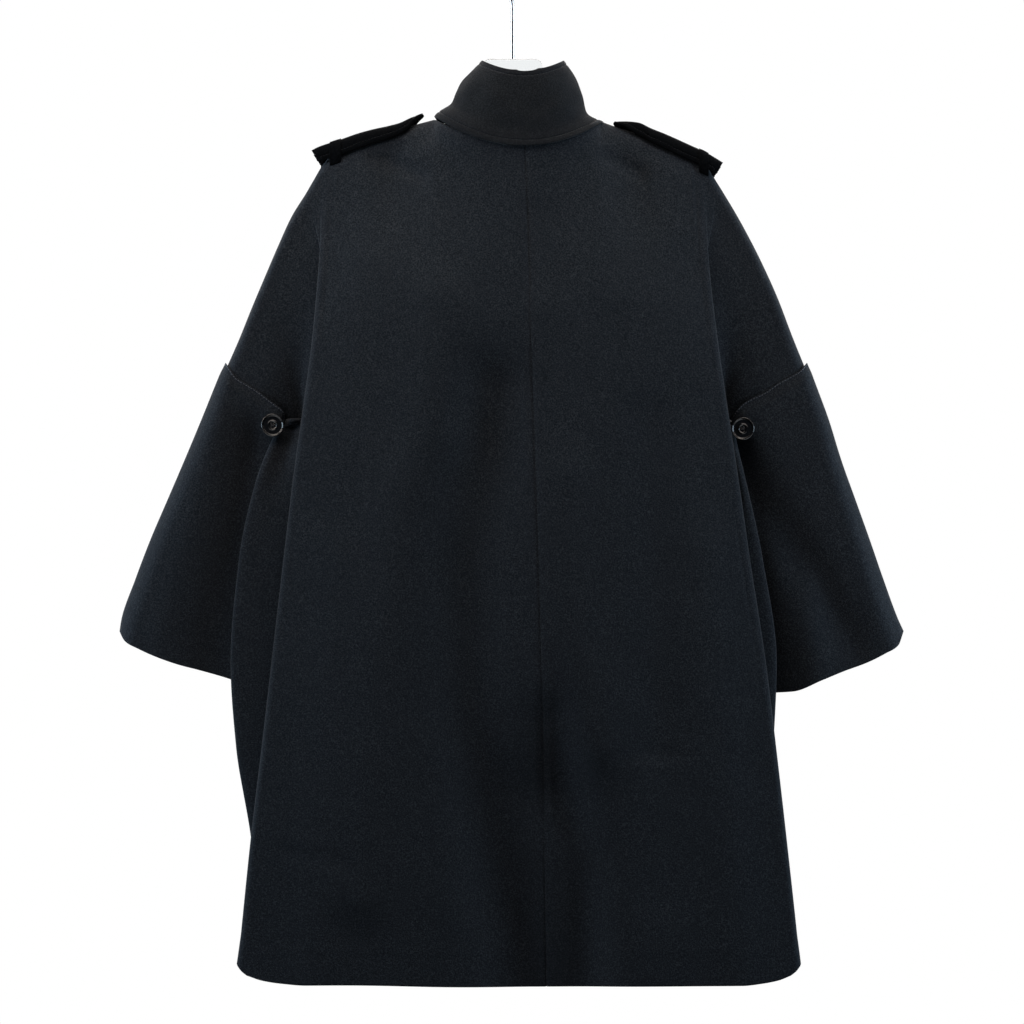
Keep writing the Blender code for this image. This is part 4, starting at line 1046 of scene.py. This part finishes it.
def sleeve_buttons(horn, thread):
    """One at the inner top corner of each bell, on its back."""
    for side, (out, down, shank) in SLEEVE_BUTTON.items():
        deep = sleeve_surface(side, out, down) + WALL / 2 + shank
        spot = np.array([SIDES[side] * out, deep, -down]) * MM
        facing = (-SIDES[side] * SLEEVE_BUTTON_LEAN, 1, SLEEVE_BUTTON_RISE)
        button(f"sleeve_button_{side}", spot, facing, BUTTON_RADIUS, horn, thread, shank + 1.5)


def strap_buttons(horn, thread):
    """One on each shoulder strap near the neck, on the slope that faces forward."""
    for side in SIDES:
        row = strap_row(side, STRAP_BUTTON_OUT, 0.0, 1.0, 11)
        ahead = strap_row(side, STRAP_BUTTON_OUT + 4, 0.0, 1.0, 11)
        _, down, deep = row[2]
        across = np.array([0.0, row[3][2] - row[1][2], row[1][1] - row[3][1]])
        along = np.array([SIDES[side] * 4.0, ahead[2][2] - deep, down - ahead[2][1]])
        facing = unit(np.cross(along, across))
        facing *= 1 if facing[2] > 0 else -1
        spot = np.array([SIDES[side] * STRAP_BUTTON_OUT, deep, -down])
        spot += facing * (STRAP_WALL / 2 + STRAP_BUTTON_SHANK)
        button(f"strap_button_{side}", spot * MM, facing, STRAP_BUTTON_RADIUS, horn, thread, 2.0)


# ---- hanger ----------------------------------------------------------------------------------------------
def arm_heights(side, out):
    """Top and bottom of the hanger's arm: its top follows the shoulder from just inside the cloth."""
    top = contour_down(side, max(out, 100)) + WALL / 2 + 0.9 - max(100 - out, 0) * 0.16
    return top, top + 8 + 20 * ease((200 - out) / 110)


def hanger(acrylic):
    """Clear hanger: a neck block and two sloping arms, with rounded edges."""
    corner = [(31.4, BLOCK_TOP + 12, BLOCK_BOTTOM - 0.4)]
    for turn in np.radians(range(0, 91, 15)):
        x, z = BLOCK_ROUND * math.cos(turn), BLOCK_ROUND * math.sin(turn)
        corner.append((BLOCK_HALF + x, BLOCK_TOP + BLOCK_ROUND - z, BLOCK_BOTTOM + 3 * (1 - x / BLOCK_ROUND)))
    halves = {}
    for side, tip in (("left", (194, 188)), ("right", (196, 190))):
        outs = spaced((*tip, 100, 44, 32), (4, 24, 12, 6))
        halves[side] = [(out, *arm_heights(side, out)) for out in outs] + corner
    stations = [(-out, top, bottom) for out, top, bottom in halves["right"]]
    stations += [(x, BLOCK_TOP, BLOCK_BOTTOM + 4) for x in (-16, -8, 0, 8, 16)] + halves["left"][::-1]
    side_deep = HANGER_DEEP - HANGER_ROUND
    rows = []
    for out, top, bottom in stations:
        low, high = bottom - HANGER_ROUND, top + HANGER_ROUND
        section = []
        for start, deep, down in ((270, side_deep, high), (180, -side_deep, high), (90, -side_deep, low),
                                  (0, side_deep, low)):
            for turn in (90, 60, 30, 0):
                angle = math.radians(start + turn)
                z, y = HANGER_ROUND * math.sin(angle), HANGER_ROUND * math.cos(angle)
                section.append((out, down + z, deep + y))
        rows.append(section)
    points = world(np.array(rows), "left", "back").reshape(-1, 3)
    faces = []
    skin(faces, 0, len(rows), len(rows[0]))
    made = thing("hanger_plate", points, faces, acrylic)
    made.data.set_sharp_from_angle(angle=math.radians(40))
    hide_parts("hanger")


def hook(steel):
    """Wire hook: a straight neck, a bend and a ring open at one side."""
    radius = HOOK_RING + HOOK_WIRE
    ring = [(radius * math.cos(math.radians(a)), radius * math.sin(math.radians(a)) - HOOK_RING)
            for a in range(-40, 206, 15)]
    neck = [(0, -BLOCK_TOP + 0.3), (0, -95), (0, -70), (3.0, -55), (9.5, -43)]
    keys = np.array([[(x, 0.0, z) for x, z in neck + ring]])
    path = spline(keys, 5)[0] * MM
    points, faces = [], []
    tube(points, faces, path, HOOK_WIRE, 24)
    made = thing("hook_wire", points, faces, steel)
    made.data.set_sharp_from_angle(angle=math.radians(40))
    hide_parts("hanger_hook")


# ---- materials -------------------------------------------------------------------------------------------
class Nodes:
    """Short calls for building one material's nodes. Names of sockets are written with _ for a space."""

    def __init__(self, name):
        self.material = bpy.data.materials.new(name)
        self.material.use_nodes = True
        self.tree = self.material.node_tree
        self.shader = self.tree.nodes["Principled BSDF"]
        self.coords = self.node("TexCoord").outputs["Object"]

    def fill(self, socket, value):
        """Give a socket a number, a colour, a vector or a link."""
        if isinstance(value, bpy.types.NodeSocket):
            self.tree.links.new(value, socket)
        elif isinstance(value, tuple) and len(socket.default_value) == 4:
            socket.default_value = (*value, 1.0)
        else:
            socket.default_value = value

    def node(self, kind, **inputs):
        made = self.tree.nodes.new(f"ShaderNode{kind}")
        for name, value in inputs.items():
            self.fill(made.inputs[name.replace("_", " ")], value)
        return made

    def noise(self, scale, detail=2.0, roughness=0.5, stretch=None):
        coords = self.coords
        if stretch:
            mapping = self.node("Mapping", Vector=coords, Scale=stretch, Rotation=(0.3, 0.5, 0.4))
            coords = mapping.outputs["Vector"]
        made = self.node("TexNoise", Vector=coords, Scale=scale, Detail=detail, Roughness=roughness)
        return made.outputs["Fac"]

    def ramp(self, value, stops):
        made = self.node("ValToRGB", Fac=value)
        while len(made.color_ramp.elements) < len(stops):
            made.color_ramp.elements.new(0.5)
        for element, (position, colour) in zip(made.color_ramp.elements, stops):
            element.position = position
            element.color = (*colour, 1.0)
        return made.outputs["Color"]

    def spread(self, value, low, high, to_low=0.0, to_high=1.0):
        """A value whose range from low to high is spread to another range."""
        made = self.node("MapRange", Value=value, From_Min=low, From_Max=high, To_Min=to_low, To_Max=to_high)
        return made.outputs["Result"]

    def mix(self, factor, one, two):
        made = self.node("Mix")
        made.data_type = "RGBA"
        for number, value in ((0, factor), (6, one), (7, two)):
            self.fill(made.inputs[number], value)
        return made.outputs[2]

    def bumps(self, *layers):
        """Bump from several heights, each with its depth in metres and strength."""
        last = {}
        for height, depth, strength in layers:
            made = self.node("Bump", Distance=depth, Strength=strength, Height=height, **last)
            last = {"Normal": made.outputs["Normal"]}
        self.set(**last)

    def set(self, **values):
        for name, value in values.items():
            self.fill(self.shader.inputs[name.replace("_", " ")], value)


def wool_material(name, shade):
    """Near-black melton: matted nap in small tufts, with stray fibres lying every way. The second argument
    scales its colour, sheen and gloss as painted shade: 1 for the plain cloth, lower for the collar's and
    straps' copies."""
    made = Nodes(name)
    tufts = made.noise(640, 4.0, 0.72)
    nap = made.noise(2300, 2.0, 0.6)
    brushed = made.noise(22, 3.0, 0.55)
    patches = made.noise(150, 3.0, 0.6)
    fibres = made.noise(900, 2.0, 0.5, (1.0, 0.13, 0.3))
    cross_fibres = made.noise(900, 2.0, 0.5, (0.22, 1.0, 0.14))

    # Every colour below is scaled here, which paints shade onto the darker copies of this cloth.
    def with_painted_shade(*colour):
        return tuple(part * shade for part in colour)

    colour = made.ramp(tufts, ((0.38, with_painted_shade(0.0014, 0.0028, 0.0050)), (0.50, with_painted_shade(0.0072, 0.0096, 0.0130)),
                               (0.62, with_painted_shade(0.0245, 0.0285, 0.0335))))
    colour = made.mix(made.spread(patches, 0.36, 0.68, 0.0, 0.30), colour, with_painted_shade(0.0038, 0.0055, 0.0082))
    colour = made.mix(made.spread(brushed, 0.35, 0.70, 0.0, 0.25), colour, with_painted_shade(0.0066, 0.0090, 0.0126))
    stray = made.spread(fibres, 0.71, 0.78, 0.0, 0.5)
    cross = made.spread(cross_fibres, 0.71, 0.78, 0.0, 0.4)
    colour = made.mix(stray, colour, with_painted_shade(0.040, 0.042, 0.046))
    colour = made.mix(cross, colour, with_painted_shade(0.034, 0.036, 0.040))
    made.set(Base_Color=colour, Roughness=0.94, Specular_IOR_Level=0.15 * min(3 * shade, 1.0) ** 2,
             Sheen_Weight=0.12 * shade, Sheen_Roughness=0.42, Sheen_Tint=(0.70, 0.74, 0.80))
    made.bumps((tufts, 0.0008, 0.7), (nap, 0.0003, 0.5), (fibres, 0.0003, 0.35))
    return made.material


def thread_material(name, shade):
    """Twisted black polyester thread; the second argument paints light on it: above 1 a highlight, below 1
    shade.
    """
    made = Nodes(name)
    twist = made.noise(3800, 1.0, 0.5, (1.0, 0.35, 1.0))
    colour = made.ramp(twist, ((0.3, (0.010 * shade, 0.011 * shade, 0.014 * shade)),
                               (0.7, (0.026 * shade, 0.028 * shade, 0.034 * shade))))
    made.set(Base_Color=colour, Roughness=0.55, Specular_IOR_Level=0.4 * min(shade, 1.0) ** 2)
    made.bumps((twist, 0.0001, 0.6))
    return made.material


def horn_material():
    """Polished black button with a faint smoky figure, its gloss broken by fine rubbing."""
    made = Nodes("polished_black")
    rub = made.noise(140, 3.0, 0.6)
    smoke = made.noise(330, 3.0, 0.6)
    colour = made.ramp(smoke, ((0.35, (0.0040, 0.0042, 0.0046)), (0.75, (0.0085, 0.0088, 0.0092))))
    made.set(Base_Color=colour, Roughness=made.spread(rub, 0.3, 0.7, 0.12, 0.20), Specular_IOR_Level=0.62)
    made.bumps((rub, 0.0001, 0.05))
    return made.material


def acrylic_material():
    """Clear cast acrylic with faint handling marks."""
    made = Nodes("clear_cast")
    marks = made.noise(90, 4.0, 0.7)
    made.set(Base_Color=(0.93, 0.955, 0.96), Transmission_Weight=1.0, IOR=1.49,
             Roughness=made.spread(marks, 0.4, 0.75, 0.02, 0.10))
    return made.material


def steel_material():
    """Polished steel wire with fine drawing lines along it."""
    made = Nodes("polished_wire")
    drawn = made.noise(1500, 2.0, 0.5, (1.0, 1.0, 0.03))
    colour = made.ramp(drawn, ((0.3, (0.50, 0.50, 0.51)), (0.7, (0.66, 0.66, 0.67))))
    made.set(Base_Color=colour, Metallic=1.0, Roughness=made.spread(drawn, 0.3, 0.7, 0.16, 0.30))
    made.bumps((drawn, 0.00005, 0.2))
    return made.material


def floor_material():
    made = Nodes("pale_floor")
    made.set(Base_Color=(0.86, 0.86, 0.85), Roughness=0.8, Specular_IOR_Level=0.2,
             Emission_Color=(1.0, 1.0, 0.99), Emission_Strength=0.55)
    return made.material


# ---- stage -----------------------------------------------------------------------------------------------
AMBIENT = (0.010, 0.020, 0.034)      # light from the white surroundings, which are seen as white
COOL, WARM, TOP = (0.66, 0.84, 1.0), (1.0, 0.89, 0.77), (1.0, 0.90, 0.84)
LIGHTS = (                # name, place, what it faces, width and length, watts, colour
    ("back_left", (1.6, 0.42, -0.30), (0.0, 0.05, -0.6), (0.4, 1.0), 20, COOL),
    ("back_right", (-1.6, 0.42, -0.30), (0.0, 0.05, -0.6), (0.4, 1.0), 20, COOL),
    ("front_left", (1.6, -0.50, -0.30), (0.0, -0.05, -0.6), (0.4, 1.0), 9, COOL),
    ("front_right", (-1.6, -0.50, -0.30), (0.0, -0.05, -0.6), (0.4, 1.0), 10, COOL),
    ("overhead", (0.0, 0.0, 0.95), (0.0, 0.0, -0.40), (1.2, 1.4), 24, WARM),
    ("back_top", (0.0, 0.60, 0.30), (0.0, 0.05, -0.5), (1.5, 0.35), 3.4, TOP),
    ("left_shoulder", (0.72, 0.46, 0.15), (0.26, 0.0, -0.38), (0.4, 0.4), 3.6, TOP),
    ("right_shoulder", (-0.72, 0.46, 0.15), (-0.26, 0.0, -0.38), (0.4, 0.4), 1.2, TOP),
    ("front_top", (0.0, -0.90, 0.30), (0.0, -0.05, -0.5), (1.5, 0.35), 9, TOP),
)


def add(name, data):
    """A new object in the scene."""
    made = bpy.data.objects.new(name, data)
    bpy.context.scene.collection.objects.link(made)
    return made


def stage():
    """Pale floor, white surroundings, soft lights and the camera behind the coat, level with its middle."""
    mesh = bpy.data.meshes.new("floor")
    around = [(FLOOR_RADIUS * cos, FLOOR_RADIUS * sin, 0.0) for cos, sin in round_trip(0, 96)]
    mesh.from_pydata(around, [], [tuple(range(96))])
    mesh.materials.append(floor_material())
    floor = add("floor", mesh)
    floor.location.z = -FLOOR_DOWN * MM
    floor.visible_diffuse = False

    surroundings = bpy.data.worlds.new("white_studio")
    surroundings.use_nodes = True
    tree = surroundings.node_tree
    background = tree.nodes["Background"]
    seen = tree.nodes.new("ShaderNodeLightPath")
    straight = tree.nodes.new("ShaderNodeMath")
    straight.operation = "MAXIMUM"
    tree.links.new(seen.outputs["Is Camera Ray"], straight.inputs[0])
    tree.links.new(seen.outputs["Is Transmission Ray"], straight.inputs[1])
    mixed = tree.nodes.new("ShaderNodeMix")
    mixed.data_type = "RGBA"
    mixed.inputs[6].default_value = (*AMBIENT, 1.0)
    mixed.inputs[7].default_value = (1.0, 1.0, 1.0, 1.0)
    tree.links.new(straight.outputs[0], mixed.inputs[0])
    tree.links.new(mixed.outputs[2], background.inputs["Color"])
    bpy.context.scene.world = surroundings

    for name, spot, aim, size, power, colour in LIGHTS:
        light = bpy.data.lights.new(name, "AREA")
        light.shape = "RECTANGLE"
        light.size, light.size_y = size
        light.energy = power
        light.color = colour
        lamp = add(name, light)
        lamp.location = spot
        lamp.rotation_euler = (Vector(aim) - Vector(spot)).to_track_quat("-Z", "Y").to_euler()

    lens = bpy.data.cameras.new("camera")
    lens.sensor_width = 36.0
    lens.lens = lens.sensor_width * CAMERA_AWAY / FRAME_WIDTH
    camera = add("camera", lens)
    camera.location = (0.0005, CAMERA_AWAY, -FRAME_CENTRE_DOWN * MM)
    camera.rotation_euler = (math.radians(90), 0.0, math.radians(180))
    bpy.context.scene.camera = camera
    bpy.context.scene.view_settings.view_transform = "Standard"


def main():
    stage()
    wool = wool_material("black_melton", 1.0)
    # Darker copy of the wool for the collar: painted shade, as the upright collar gets less of the light from
    # above.
    collar_wool_painted_shade = wool_material("black_melton_painted_shade", 0.45)
    # Near-black copy for the straps and keepers: painted shade, for their faces turned away from the light.
    strap_wool_painted_shade = wool_material("black_melton_painted_deep_shade", 0.12)
    thread = thread_material("black_thread", 1.0)
    # Paler copy of the black thread for the bell's top edge: painted highlight where its stitches catch the
    # light.
    highlight_painted_thread = thread_material("black_thread_painted_highlight", 3.2)
    # Darker copy of the thread for the straps: painted shade, to sit in their shaded faces.
    shade_painted_thread = thread_material("shade_painted_thread", 0.4)
    horn = horn_material()
    for side in SIDES:
        for face in FACES:
            panel(side, face, wool)
        sewn = sleeve_stitches(side, highlight_painted_thread)
        sleeve(side, wool)
        sewn = strap_stitches(side, shade_painted_thread)
        strap(side, strap_wool_painted_shade)
        keeper(side, strap_wool_painted_shade)
    sewn = collar_stitches(thread)
    collar(collar_wool_painted_shade)
    front_buttons(horn, thread)
    sleeve_buttons(horn, thread)
    strap_buttons(horn, thread)
    hanger(acrylic_material())
    hook(steel_material())


main()
